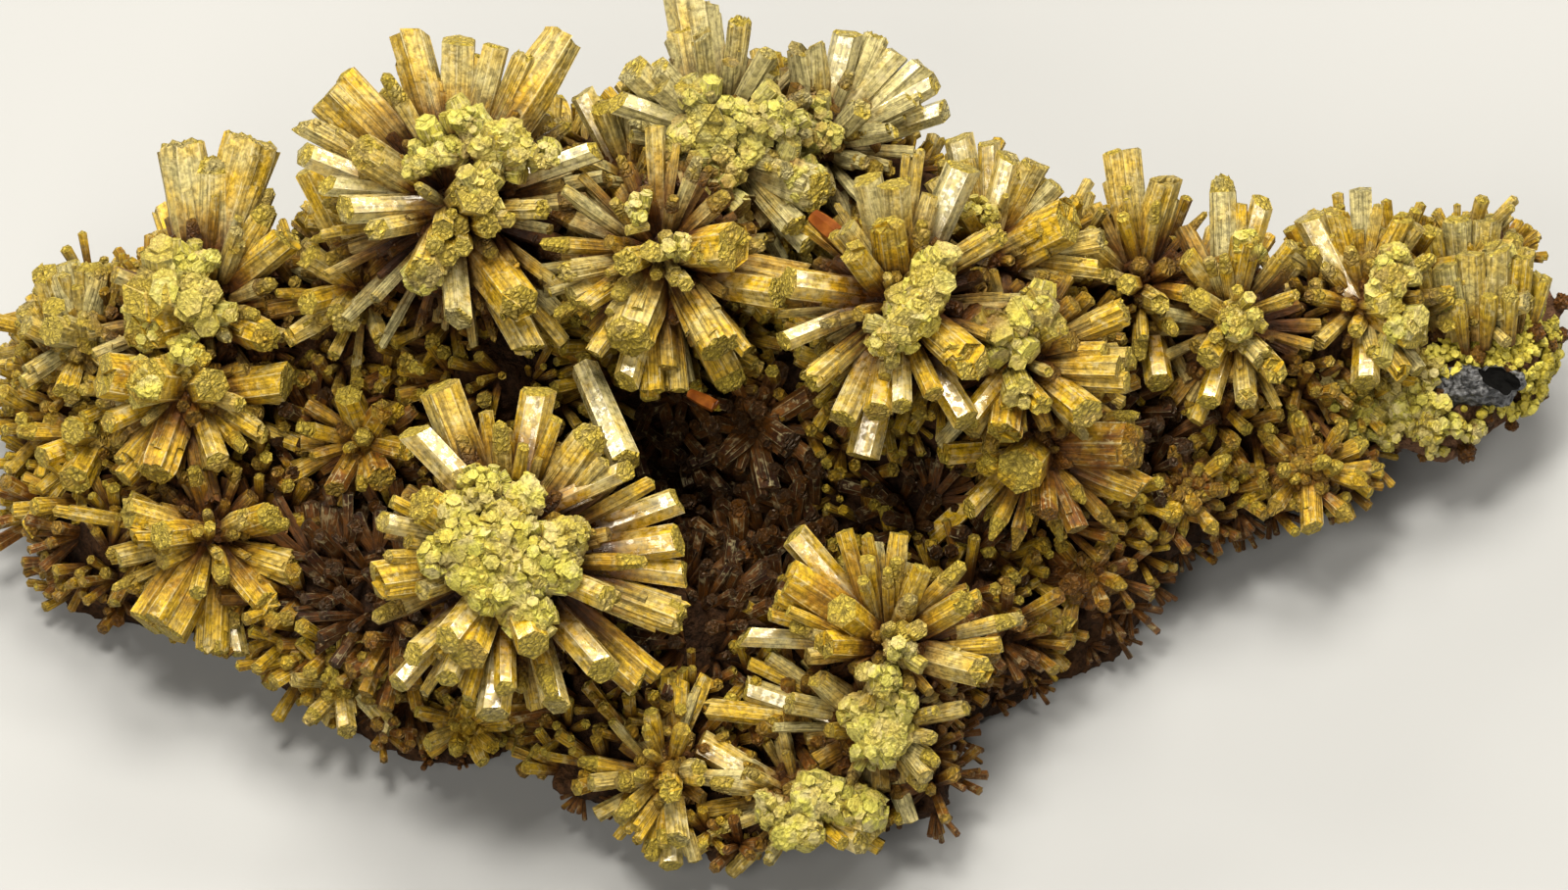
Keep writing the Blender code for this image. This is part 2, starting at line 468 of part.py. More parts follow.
def join_by_boolean(obj, name, operation, operands):
    boolean = obj.modifiers.new(name, "BOOLEAN")
    boolean.operation = operation
    boolean.solver = "EXACT"
    boolean.operand_type = "COLLECTION"
    boolean.collection = operands


def build_spray(name, heart, radius, crystals, specimen, helpers, skin):
    """One spray: its heart with every crystal grown out of it, as one solid."""
    grown = bpy.data.collections.new(name + "_crystals")
    helpers.children.link(grown)
    dice = random.Random(name + "_twist")
    for number, crystal in enumerate(crystals):
        twist = dice.uniform(0, math.tau / SIDES)
        prism(f"{name}_{number}", crystal.root, crystal.tip, crystal.width, twist, grown)
    obj = ball(name, heart, radius, specimen)
    join_by_boolean(obj, "Crystals", "UNION", grown)
    obj.data.materials.append(skin)
    return obj


def rock_balls(hearts):
    """Centre and radius of every ball that the rock is blended from: a lump behind each heart
    and a column of balls that carries it down to the underside."""
    lumps = [(show_face(*lump[:3]), lump[3] * MM) for lump in ROCK_LUMPS]
    inward = show_direction(0, 0, -1).normalized()
    for heart, radius in hearts.values():
        depth = radius + LUMP_DEPTH * MM
        lumps.append((heart + depth * inward, LUMP_RADIUS * MM))
    for (heart, _), (other, _) in combinations(hearts.values(), 2):
        if (heart - other).length < BRIDGE_REACH * MM:
            middle = (heart + other) / 2 + BRIDGE_DEPTH * MM * inward
            lumps.append((middle, BRIDGE_RADIUS * MM))
    balls = list(lumps)
    for centre, radius in lumps:
        below = centre.copy()
        while below.z > (COLUMN_FOOT + COLUMN_STEP) * MM and carries(centre):
            below = below - Vector((0, 0, COLUMN_STEP * MM))
            balls.append((below.copy(), max(radius, COLUMN_RADIUS * MM)))
    return balls


def carries(centre):
    """Whether the rock under this place goes down to the table. The arm overhangs it."""
    return centre.x < ARM_START * MM


def build_rock(hearts, specimen, helpers, cutters):
    """The rock before its sockets are cut: balls blended together, roughened and simplified."""
    shape = bmesh.new()
    for centre, radius in rock_balls(hearts):
        place = Matrix.Translation(centre)
        bmesh.ops.create_icosphere(shape, subdivisions=2, radius=radius, matrix=place)
    rock = mesh_object("matrix", shape, specimen)
    blend = rock.modifiers.new("Blend", "REMESH")
    blend.mode = "VOXEL"
    blend.voxel_size = VOXEL * MM
    relief = bpy.data.textures.new("Rock relief", "CLOUDS")
    relief.noise_scale = RELIEF_SIZE * MM
    rough = rock.modifiers.new("Relief", "DISPLACE")
    rough.texture = relief
    rough.texture_coords = "LOCAL"
    rough.strength = RELIEF * MM
    rough.mid_level = 0.6
    fewer = rock.modifiers.new("Fewer faces", "DECIMATE")
    fewer.ratio = ROCK_RATIO
    slab = bmesh.new()
    place = Matrix.Translation((0, 0, -SLAB * MM / 2)) @ Matrix.Scale(SLAB * MM, 4)
    bmesh.ops.create_cube(slab, size=1, matrix=place)
    mesh_object("table_side", slab, cutters, helper=True)
    join_by_boolean(rock, "Underside and sockets", "DIFFERENCE", cutters)
    return rock


def surface_of(obj):
    """A search tree of an object's surface as it is shown."""
    bpy.context.view_layer.update()
    return BVHTree.FromObject(obj, bpy.context.evaluated_depsgraph_get())


def outer_points(obj):
    """Middles and normals of an object's faces as it is shown."""
    shown = obj.evaluated_get(bpy.context.evaluated_depsgraph_get())
    return [(face.center.copy(), face.normal.copy()) for face in shown.data.polygons]


def grow_druse(rock, crystals, hearts, druse):
    """Small single crystals fused to the rock, where the sprays leave room."""
    dice = random.Random("druse")
    places = [place for place in outer_points(rock) if place[0].z > DRUSE_LOWEST * MM]
    dice.shuffle(places)
    taken = []
    for place, normal in places:
        if len(taken) == DRUSE_COUNT:
            break
        width = dice.uniform(*DRUSE_WIDTH) * MM
        length = dice.uniform(*DRUSE_LENGTH) * MM
        tilt = Vector([dice.uniform(-1, 1) * DRUSE_TILT for _ in range(3)])
        ray = (normal + tilt).normalized()
        grown = Crystal("matrix", place - width * ray, place + length * ray, width)
        roomy = all((place - other).length > DRUSE_SPACING * MM for other in taken)
        if (
            roomy
            and above_table(grown)
            and clear_of_hearts(grown, hearts)
            and clear_of_crystals(grown, crystals)
        ):
            twist = dice.uniform(0, math.tau)
            prism(f"druse_{len(taken)}", grown.root, grown.tip, width, twist, druse)
            taken.append(place)
    join_by_boolean(rock, "Druse", "UNION", druse)


def main():
    clear_scene()
    specimen = new_collection("pyromorphite_specimen")
    helpers = new_collection("helpers", hidden=True)
    cutters = bpy.data.collections.new("cutters")
    helpers.children.link(cutters)
    druse = bpy.data.collections.new("druse")
    helpers.children.link(druse)
    skin = material("pyromorphite", (0.42, 0.33, 0.09), 0.35)
    stone = material("matrix", (0.11, 0.075, 0.04), 0.9)

    hearts = {spray.name: (show_face(*spray.heart), spray.radius * MM) for spray in SPRAYS}
    rock = build_rock(hearts, specimen, helpers, cutters)
    rock.data.materials.append(stone)
    surface = surface_of(rock)
    wanted = [crystal for spray in SPRAYS for crystal in crystals_of(spray)]
    for spray in BACK_SPRAYS:
        heart = back_heart(spray, surface)
        hearts[spray.name] = (heart, spray.radius * MM)
        wanted += back_crystals_of(spray, heart)
    crystals = settled_crystals(wanted, hearts, surface)
    print(len(wanted), "crystals wanted,", len(crystals), "kept")
    for name, (heart, radius) in hearts.items():
        ball(name + "_socket", heart, radius + GAP * MM, cutters, helper=True)
        own = [crystal for crystal in crystals if crystal.spray == name]
        build_spray(name, heart, radius, own, specimen, helpers, skin)
    bpy.context.view_layer.update()
    grow_druse(rock, crystals, hearts, druse)


main()
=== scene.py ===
import math
import random
from collections import namedtuple
from contextlib import contextmanager
from functools import cache

import bmesh
import bpy
import numpy as np
from bpy.props import FloatProperty, FloatVectorProperty, PointerProperty
from mathutils import Matrix, Vector
from mathutils.bvhtree import BVHTree


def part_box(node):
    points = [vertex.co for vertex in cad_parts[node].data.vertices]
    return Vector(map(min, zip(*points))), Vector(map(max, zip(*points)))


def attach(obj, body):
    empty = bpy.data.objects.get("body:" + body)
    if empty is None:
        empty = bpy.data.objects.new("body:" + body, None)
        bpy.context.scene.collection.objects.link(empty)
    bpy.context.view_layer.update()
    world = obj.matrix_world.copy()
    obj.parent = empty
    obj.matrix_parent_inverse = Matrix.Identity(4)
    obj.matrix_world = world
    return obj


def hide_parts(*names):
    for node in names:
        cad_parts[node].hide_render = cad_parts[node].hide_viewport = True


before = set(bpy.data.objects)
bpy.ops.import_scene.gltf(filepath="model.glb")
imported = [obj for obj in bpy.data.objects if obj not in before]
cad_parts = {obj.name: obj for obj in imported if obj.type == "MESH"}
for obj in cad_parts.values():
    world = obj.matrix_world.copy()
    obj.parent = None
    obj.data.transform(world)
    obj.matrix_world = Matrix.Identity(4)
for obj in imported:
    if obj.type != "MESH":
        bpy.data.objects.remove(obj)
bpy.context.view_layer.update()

bl_info = {
    "name": "Pyromorphite specimen",
    "version": (1, 0, 0),
    "blender": (4, 5, 0),
    "location": "3D View > Sidebar > Specimen",
    "description": "Dresses a loose pyromorphite specimen: crystal sprays, crust, rock and stage",
    "category": "Object",
}

MM = 0.001

# The show face, on which places are given as (right, up, out) in millimetres. It faces up by
# this angle, and "out" is square to it.
SHOW_FACE_RISE = math.radians(50)
SHOW_FACE_HEIGHT = 20.0
SHOW_FACE_SHIFT = (-0.9, -5.2)
SPECIMEN_WIDTH = 110.0

# Each spray: its heart's place and radius, how far its crystals reach, how green its heart is,
# how much paler it is than its neighbours, and each crystal's tip as (right, up, width), with
# right and up measured from the heart.
Spray = namedtuple("Spray", "name heart radius reach green tone tips")

SPRAYS = (
    Spray("top_left_spray", (-23.0, 16.4, 0.0), 2.7, 12.0, 0.3, 0.0, (
        (-8.6, 8.7, 3.8), (-6.4, 4.1, 2.4), (-4.8, 9.3, 1.2), (-3.2, 11.9, 2.5), (0.2, 11.9, 2.3),
        (2.6, 11.6, 2.5), (4.8, 10.8, 1.4), (7.4, 12.0, 3.3), (9.8, 4.1, 1.5), (1.7, 1.0, 2.7),
        (-0.3, -2.4, 3.1), (2.5, -1.2, 1.6), (3.9, -0.7, 1.2), (6.2, 0.0, 1.4), (-7.6, 0.0, 1.9),
        (-8.9, 1.7, 1.4), (-5.3, -1.4, 1.5), (-9.3, -1.7, 0.8), (-2.4, 1.6, 1.0), (-2.1, -4.5, 2.4),
        (4.5, -6.5, 2.7), (0.3, -7.6, 1.9), (5.2, -9.6, 2.4), (7.6, -5.5, 1.1), (7.6, -9.3, 1.2),
        (-10.3, 5.8, 1.5), (-10.5, 3.9, 1.7),
    )),
    Spray("top_spray", (-4.5, 20.9, -4.0), 2.6, 10.5, 0.7, 0.26, (
        (-2.1, 10.3, 3.4), (1.4, 8.8, 1.5), (-5.5, 5.5, 3.3), (-7.2, 3.1, 1.7), (-6.2, 1.7, 0.8),
        (-2.1, 4.1, 2.1), (-0.7, 3.8, 1.2), (3.8, 6.5, 1.9), (-1.0, 1.7, 3.0), (-0.1, -1.0, 1.9),
        (-0.9, -3.1, 2.1), (-3.8, -2.4, 2.7), (4.3, -1.4, 1.9), (6.9, -3.1, 2.9), (5.3, -5.6, 1.9),
        (6.2, -6.9, 1.6), (-1.2, 7.6, 1.4),
    )),
    Spray("between_spray", (-10.6, 18.5, -3.5), 2.0, 7.2, 0.3, 0.0, (
        (-3.6, 6.2, 1.6), (-2.1, 5.2, 1.7), (-0.2, 6.6, 1.4), (-4.9, -0.7, 1.2), (-3.9, 1.6, 1.4),
        (0.4, -2.1, 1.4), (1.6, 2.0, 1.5),
    )),
    Spray("top_fan_spray", (2.4, 20.9, -7.0), 2.3, 8.6, 0.5, 0.24, (
        (-1.4, 7.0, 1.5), (-0.3, 7.2, 1.5), (2.1, 8.1, 1.9), (4.1, 7.9, 1.7), (5.6, 6.7, 1.6),
        (7.4, 5.8, 1.8), (8.2, 4.7, 1.5), (7.2, 3.4, 1.5), (8.9, 2.7, 1.5), (-2.7, 2.7, 1.9),
        (3.0, 2.6, 1.6), (5.2, 1.2, 1.4),
    )),
    Spray("upper_middle_spray", (-8.6, 13.2, 3.0), 2.5, 10.0, 0.2, 0.0, (
        (5.0, 0.6, 3.1), (1.5, -1.9, 1.5), (-0.7, 0.3, 1.4), (-2.4, -0.5, 1.8), (-2.4, -6.0, 3.3),
        (0.2, -9.8, 3.2), (4.1, -6.4, 2.7), (5.0, -9.0, 2.4), (6.0, -6.7, 1.1), (8.2, -2.6, 2.1),
        (11.0, -2.6, 2.7), (-6.7, 4.6, 1.2), (-8.2, 0.8, 1.2), (-6.7, -1.2, 1.4),
        (-7.2, -4.1, 1.0), (-5.3, -3.5, 1.4), (-4.6, -6.7, 1.5), (-2.4, -8.8, 1.7),
    )),
    Spray("right_middle_spray", (8.1, 9.9, 4.0), 2.6, 10.0, 0.7, 0.0, (
        (0.5, -1.7, 2.6), (1.9, 0.0, 2.1), (2.3, 1.6, 2.6), (-1.1, -2.9, 1.8), (-3.3, 3.4, 1.9),
        (-3.8, 5.2, 1.5), (-0.9, 5.4, 2.1), (1.0, 10.7, 1.5), (-2.3, 8.6, 2.1), (-0.5, 8.2, 2.1),
        (4.4, 9.5, 2.2), (6.9, 4.8, 1.6), (4.9, -4.1, 2.5), (2.5, -6.5, 1.9), (0.1, -7.2, 1.4),
        (-1.6, -7.6, 1.8), (-4.0, -8.1, 1.9), (-2.6, -10.7, 2.1), (4.6, -8.2, 1.8),
        (-6.2, -5.5, 1.7), (-8.1, -2.7, 1.4), (-7.8, 1.4, 2.1),
    )),
    Spray("ridge_spray", (14.4, 13.0, -4.0), 2.3, 8.6, 0.2, 0.0, (
        (-2.1, 8.6, 1.9), (0.0, 8.2, 1.4), (1.4, 7.2, 1.7), (3.1, 6.5, 1.9), (5.5, 2.7, 3.1),
        (7.9, 1.4, 1.6), (7.6, -0.7, 1.4), (-1.7, 3.4, 1.7), (4.7, 5.2, 1.4),
    )),
    Spray("right_spray", (16.2, 6.1, 0.0), 2.5, 9.0, 0.8, 0.05, (
        (-1.4, 2.1, 2.4), (1.7, 3.8, 2.7), (7.6, 3.2, 1.9), (7.9, -0.7, 3.4), (5.0, -3.9, 2.2),
        (0.3, -2.7, 2.2), (1.9, -3.4, 1.4), (-0.9, -5.2, 2.2), (-3.4, -4.4, 1.5),
    )),
    Spray("right_lower_spray", (17.9, -0.1, -3.0), 2.3, 8.0, 0.1, -0.2, (
        (6.9, 0.0, 3.3), (7.2, -3.1, 2.5), (-1.4, -1.7, 3.1), (-3.4, -6.5, 1.2), (-1.7, -7.2, 1.2),
        (-6.7, -0.5, 1.5), (-3.9, -1.4, 1.6), (-7.6, -6.5, 1.4), (2.7, -5.8, 1.4), (5.5, -5.8, 1.2),
        (0.4, -5.0, 1.8), (-4.9, -4.4, 1.3),
    )),
    Spray("arm_root_spray", (25.1, 11.3, -10.0), 2.2, 8.6, 0.2, -0.1, (
        (-1.2, 9.6, 2.5), (1.9, 7.4, 2.1), (-0.9, 6.9, 1.2), (-1.2, 4.8, 1.0), (1.2, 5.8, 1.0),
        (1.4, -1.4, 1.6), (-1.0, 0.0, 1.4), (-4.1, 2.7, 1.6), (0.2, -3.8, 0.9), (0.0, -5.2, 1.2),
        (2.5, -3.4, 1.1), (-2.7, -3.4, 1.4), (1.4, -6.9, 1.8),
    )),
    Spray("arm_spray", (31.8, 8.5, -10.0), 2.3, 8.6, 0.4, 0.0, (
        (-0.7, 10.2, 1.9), (0.5, 8.6, 1.2), (2.1, 8.7, 1.5), (-3.4, 4.8, 1.4), (-0.8, 4.8, 1.0),
        (0.9, 6.2, 1.9), (0.2, 0.3, 2.5), (-2.5, 1.7, 1.6), (-1.5, -0.9, 1.0), (-1.9, -2.4, 1.7),
        (1.9, -2.4, 1.5), (-6.2, -7.6, 1.4), (-1.9, -5.5, 1.5), (-2.7, -6.9, 1.1),
        (0.8, -5.2, 1.5), (2.8, -3.3, 1.6), (4.0, 5.5, 1.4), (4.3, 2.1, 1.2),
    )),
    Spray("arm_outer_spray", (41.2, 9.9, -14.0), 2.3, 7.6, 0.6, 0.0, (
        (-3.8, 6.3, 2.2), (-2.1, 6.5, 1.4), (-0.2, 8.2, 1.6), (1.0, 7.1, 0.9), (2.7, 6.0, 1.4),
        (3.8, 5.6, 1.2), (2.1, 2.1, 2.4), (1.7, 0.0, 1.9), (0.0, -5.5, 1.8), (2.7, -4.8, 1.5),
        (3.4, -2.1, 2.1), (-4.1, 0.7, 1.2), (-3.4, -2.7, 1.2), (4.8, 3.4, 1.2),
    )),
    Spray("arm_end_spray", (49.5, 9.4, -17.9), 2.0, 5.6, 0.6, 0.05, (
        (-1.5, 2.6, 1.5), (3.4, 0.8, 1.4), (-3.8, 2.6, 1.4), (-3.6, 0.6, 1.6), (-2.4, -0.6, 1.5),
        (-5.0, 1.4, 1.3), (-4.4, -0.8, 1.2),
    )),
    Spray("arm_under_spray", (37.1, -1.8, -12.0), 1.9, 5.4, 0.0, -0.15, (
        (-4.8, -2.4, 1.2), (-2.7, -3.1, 1.2), (0.3, -4.1, 1.5), (3.1, -3.4, 1.2), (4.1, -1.0, 1.2),
        (5.5, 0.3, 1.0), (-3.4, 2.7, 1.2), (-0.7, 4.1, 1.2), (2.7, 3.4, 1.2), (-6.5, 0.0, 1.2),
        (-2.1, 0.0, 1.2), (1.4, 0.7, 1.2),
    )),
    Spray("arm_hem_spray", (28.5, -3.2, -10.0), 1.8, 4.6, 0.0, -0.2, (
        (2.1, -3.1, 1.2), (-1.7, -3.8, 1.2), (-3.4, -1.4, 1.2), (2.4, 0.0, 1.2), (-1.0, 3.1, 1.2),
        (0.4, -1.4, 1.3), (3.0, 2.4, 1.2),
    )),
    Spray("right_hem_spray", (21.3, -9.3, -7.0), 1.8, 4.6, 0.0, -0.35, (
        (2.7, -0.7, 1.2), (1.4, -2.4, 1.2), (-1.4, -3.8, 1.2), (-4.1, -3.4, 1.2), (-4.5, -0.3, 1.2),
        (-2.1, 2.7, 1.2), (1.4, 2.1, 1.2), (-1.2, -0.6, 1.4),
    )),
    Spray("central_spray", (-19.2, -8.0, 7.0), 4.2, 12.0, 1.0, 0.1, (
        (-4.8, 12.0, 2.6), (-6.5, 8.9, 2.2), (-0.5, 9.4, 1.2), (1.2, 7.9, 0.9), (2.1, 11.7, 2.2),
        (3.4, 9.8, 1.1), (6.0, 8.9, 2.6), (6.7, 6.9, 1.0), (8.2, 6.2, 1.4), (10.0, 5.4, 1.2),
        (11.7, 4.1, 1.8), (11.8, 1.4, 2.1), (9.5, -0.1, 1.2), (12.2, -1.0, 1.9), (7.0, -2.6, 1.7),
        (11.9, -4.1, 2.5), (9.3, -8.2, 2.7), (6.7, -7.6, 2.1), (3.1, -9.3, 1.2), (3.4, -10.0, 1.7),
        (-0.1, -8.9, 1.4), (-4.1, -8.2, 1.5), (-2.7, -9.6, 1.0), (-1.0, -10.7, 2.1),
        (-2.6, -6.5, 2.5), (-4.1, -5.5, 1.9), (-6.5, -6.5, 1.5), (-7.6, -8.6, 1.4),
        (-8.9, -1.4, 2.6), (-8.2, 0.3, 1.0), (-8.6, 2.7, 1.4), (-7.9, 4.1, 1.2), (-5.8, 4.0, 2.5),
        (1.9, -5.8, 2.2),
    )),
    Spray("lower_right_spray", (7.2, -14.2, 4.0), 2.4, 9.0, 0.1, 0.15, (
        (-6.5, 7.9, 1.9), (-6.7, 4.8, 2.6), (-3.0, 8.2, 1.2), (-1.4, 7.9, 1.2), (-1.4, 6.3, 1.1),
        (-1.7, 4.8, 1.0), (0.0, 5.5, 0.9), (0.7, 6.2, 1.2), (2.4, 5.5, 1.5), (5.2, 5.8, 1.2),
        (-3.2, 2.7, 2.2), (0.2, 1.6, 1.2), (1.7, 1.4, 1.9), (5.5, 3.4, 1.8), (6.4, 3.8, 1.0),
        (6.5, -1.5, 1.9), (9.3, 2.1, 1.2), (7.9, 0.3, 1.2), (-10.0, 0.8, 1.4), (-6.9, 2.7, 0.9),
        (-7.7, 3.6, 1.2), (-8.2, 2.4, 1.1), (-4.3, 0.3, 1.9),
    )),
    Spray("lower_spray", (6.5, -19.7, 3.0), 2.4, 8.0, 0.9, 0.28, (
        (-7.6, 4.9, 1.4), (-8.9, 4.5, 1.0), (-9.1, 2.7, 1.5), (-6.2, 1.7, 1.4), (-4.1, 3.4, 1.8),
        (-7.2, 0.0, 0.8), (-11.3, 1.2, 1.4), (4.1, 1.2, 1.2), (4.1, -2.4, 1.2), (3.4, -3.4, 1.2),
        (-1.0, 1.4, 2.4), (0.7, -0.7, 2.7), (3.8, -0.7, 1.2), (6.2, 1.4, 1.2),
    )),
    Spray("foot_spray", (1.0, -24.6, 2.5), 2.2, 6.8, 0.5, 0.24, (
        (-6.9, 3.7, 1.9), (-6.0, 1.0, 1.2), (-7.1, -1.1, 1.2), (-5.8, -2.3, 0.9), (-7.2, -3.6, 1.2),
        (1.7, 0.1, 2.4), (0.7, -2.6, 1.9), (5.2, -1.6, 2.7), (4.5, -3.0, 1.9), (5.8, -3.6, 1.2),
        (3.1, -3.2, 1.2), (-2.1, -4.5, 1.2), (-4.8, -5.4, 1.2),
    )),
    Spray("foot_left_spray", (-8.1, -23.1, 2.0), 2.0, 6.6, 0.0, 0.18, (
        (0.5, 7.2, 1.8), (2.7, 6.9, 1.2), (2.1, 6.2, 0.9), (-1.2, 4.5, 1.2), (-1.5, 3.4, 1.0),
        (1.0, 3.3, 1.2), (-1.5, 1.7, 0.8), (-3.9, 3.8, 0.8), (-2.2, 0.0, 1.2), (0.2, -1.0, 1.5),
        (2.3, -0.3, 0.8), (-3.2, -2.7, 1.2), (-2.5, -4.3, 1.5), (0.7, -4.5, 1.6), (-0.3, -4.9, 1.1),
        (-1.2, -5.8, 1.2), (0.2, -6.3, 1.5), (1.9, -6.0, 1.2), (-6.2, 1.0, 1.2), (-5.4, -0.5, 1.2),
    )),
    Spray("left_upper_spray", (-40.9, 9.6, -8.0), 2.6, 10.5, 0.8, 0.05, (
        (-1.7, 11.6, 3.1), (0.6, 10.4, 2.3), (3.2, 11.9, 3.8), (4.5, 6.9, 1.9), (2.6, 5.2, 1.4),
        (5.8, 4.8, 2.1), (-3.8, 1.0, 3.4), (-0.5, 0.8, 3.3), (-4.0, -1.7, 3.1), (4.8, -2.1, 2.4),
        (2.1, -0.5, 1.0),
    )),
    Spray("left_middle_spray", (-42.1, 4.0, -6.5), 2.3, 8.4, 0.4, 0.0, (
        (-2.7, 0.5, 3.1), (1.1, 2.3, 1.5), (1.9, 0.2, 2.4), (7.1, 0.5, 2.5), (9.0, 0.9, 1.2),
        (-5.6, 0.9, 3.1), (-5.4, -2.4, 1.4), (-2.2, -6.0, 2.6), (-4.7, -6.0, 2.1), (2.3, -5.2, 1.6),
        (1.6, -8.0, 1.9), (5.4, -3.2, 1.5), (4.1, -4.3, 1.1), (7.8, -3.9, 1.2),
    )),
    Spray("left_lower_spray", (-40.3, -6.5, -6.5), 2.3, 8.2, 0.1, 0.05, (
        (-3.6, -0.3, 2.7), (-5.7, 1.7, 2.1), (-5.4, 0.0, 1.4), (-11.2, 1.9, 1.2), (4.3, 1.6, 1.8),
        (5.3, 1.0, 1.1), (5.8, -2.2, 2.2), (3.9, -4.6, 1.9), (0.8, -2.9, 1.2), (0.6, -1.2, 0.8),
        (0.0, 0.8, 1.0), (0.0, -8.0, 2.1), (1.7, -8.2, 1.5), (-0.9, -3.9, 1.2), (-4.0, -6.3, 3.8),
        (-6.9, -3.6, 0.9),
    )),
    Spray("far_left_spray", (-49.8, 7.1, -12.0), 2.1, 6.0, 0.2, 0.2, (
        (-1.7, 5.6, 2.6), (1.4, 5.2, 1.4), (-3.8, 1.4, 1.4), (-4.1, -2.4, 1.5), (-1.0, -3.4, 1.8),
        (-2.0, 1.0, 2.0), (0.6, 1.8, 1.6),
    )),
    Spray("far_left_lower_spray", (-48.9, 0.4, -12.0), 2.0, 5.6, 0.1, 0.05, (
        (-3.6, -1.3, 1.5), (-1.3, -2.9, 2.2), (-3.9, -3.6, 1.2), (-5.4, 0.6, 1.2), (-1.4, 0.6, 1.8),
        (-4.6, -6.2, 1.4), (-1.2, -6.0, 1.3),
    )),
    Spray("notch_upper_spray", (-29.6, 10.7, -6.0), 2.0, 7.4, 0.0, -0.05, (
        (-3.7, 2.5, 1.8), (-0.8, 2.1, 1.2), (3.0, 2.6, 1.7), (1.2, 0.0, 1.7), (-3.9, -0.7, 1.7),
        (-1.3, -1.9, 2.2), (-5.1, -3.1, 1.6), (-6.1, 0.0, 0.9), (-7.0, -1.2, 1.4), (-4.0, 8.7, 1.9),
    )),
    Spray("notch_spray", (-29.4, 0.3, -6.0), 2.0, 6.4, 0.0, -0.15, (
        (-1.2, 3.1, 1.9), (1.1, -2.7, 1.9), (1.1, 2.1, 1.5), (-2.2, -3.4, 1.4), (-6.0, -2.9, 1.2),
        (-4.8, 1.0, 1.2), (2.8, -0.6, 1.4),
    )),
    Spray("left_hem_spray", (-30.9, -16.9, -5.0), 1.8, 5.4, 0.0, 0.18, (
        (-3.1, 3.1, 1.2), (0.7, 4.1, 2.1), (-2.7, -2.6, 1.2), (3.4, -3.0, 1.4), (0.2, -3.2, 1.3),
        (3.6, 0.8, 1.2), (-1.0, 0.6, 1.4), (-3.6, 0.4, 1.2),
    )),
    Spray("front_hem_spray", (-22.4, -19.6, -2.5), 1.6, 4.6, 0.0, 0.05, (
        (-2.6, -1.4, 1.2), (-0.6, -1.9, 1.2), (2.0, -1.6, 1.2), (3.4, 0.2, 1.2), (-3.4, 0.9, 1.2),
        (0.4, 1.6, 1.3),
    )),
    # The two recess sprays have low tones that paint the shade of the recess into their crystals.
    Spray("recess_upper_spray", (-2.1, 1.6, -6.0), 1.9, 6.0, 0.0, -0.8, (
        (1.0, -4.8, 1.6), (5.2, -3.8, 1.4), (0.4, 1.0, 1.2), (-2.4, -2.7, 1.4), (4.1, 2.1, 1.4),
        (-3.4, 0.0, 1.2), (-4.6, -3.0, 1.3), (2.6, -1.4, 1.4),
    )),
    Spray("recess_lower_spray", (-3.4, -8.6, -6.0), 1.8, 5.4, 0.0, -0.75, (
        (-3.0, 3.2, 1.2), (2.8, 2.6, 1.2), (-3.9, -1.2, 1.2), (-0.4, -3.6, 1.3), (3.4, -1.4, 1.2),
        (0.3, 0.9, 1.4), (0.2, 4.6, 1.3),
    )),
)

# The sprays of small, pointed crystals.
NEEDLE_SPRAYS = ("arm_under_spray", "arm_hem_spray", "right_hem_spray", "right_lower_spray")

# Crystals that stand beside one another at the two ends, each as root, tip and width.
COLUMNS = {
    "far_left_spray": (
        ((-50.9, 6.6, -13.5), (-52.4, 12.1, -10.6), 1.9),
        ((-50.0, 6.8, -13.2), (-50.6, 12.5, -10.2), 2.1),
        ((-49.2, 6.8, -13.4), (-48.9, 12.3, -10.6), 1.8),
        ((-51.4, 5.8, -13.4), (-53.8, 9.7, -11.2), 1.7),
        ((-48.4, 6.6, -13.4), (-47.4, 11.6, -10.9), 1.5),
        ((-50.6, 5.8, -12.6), (-51.7, 9.8, -8.9), 1.6),
    ),
    "arm_end_spray": (
        ((47.8, 7.6, -16.6), (47.0, 12.7, -13.8), 1.7),
        ((49.3, 7.6, -16.8), (48.8, 13.4, -14.4), 1.9),
        ((50.7, 7.9, -17.2), (50.8, 13.9, -15.0), 2.0),
        ((52.1, 8.2, -17.6), (52.6, 13.5, -15.6), 1.6),
        ((53.2, 8.0, -18.8), (54.1, 11.9, -17.2), 1.4),
        ((51.6, 7.2, -16.2), (51.7, 11.2, -14.0), 1.3),
        ((48.6, 6.6, -15.8), (48.0, 10.2, -13.6), 1.3),
        ((50.0, 6.9, -16.2), (50.2, 10.6, -13.8), 1.2),
        ((46.4, 8.2, -16.0), (45.2, 12.4, -13.4), 1.5),
        ((46.8, 12.2, -18.2), (46.2, 15.2, -16.9), 1.4),
        ((48.3, 12.4, -18.8), (48.0, 16.1, -17.4), 1.8),
        ((49.9, 12.6, -19.1), (50.2, 16.2, -17.8), 2.0),
        ((51.4, 12.2, -19.2), (52.2, 15.0, -18.2), 1.6),
    ),
}

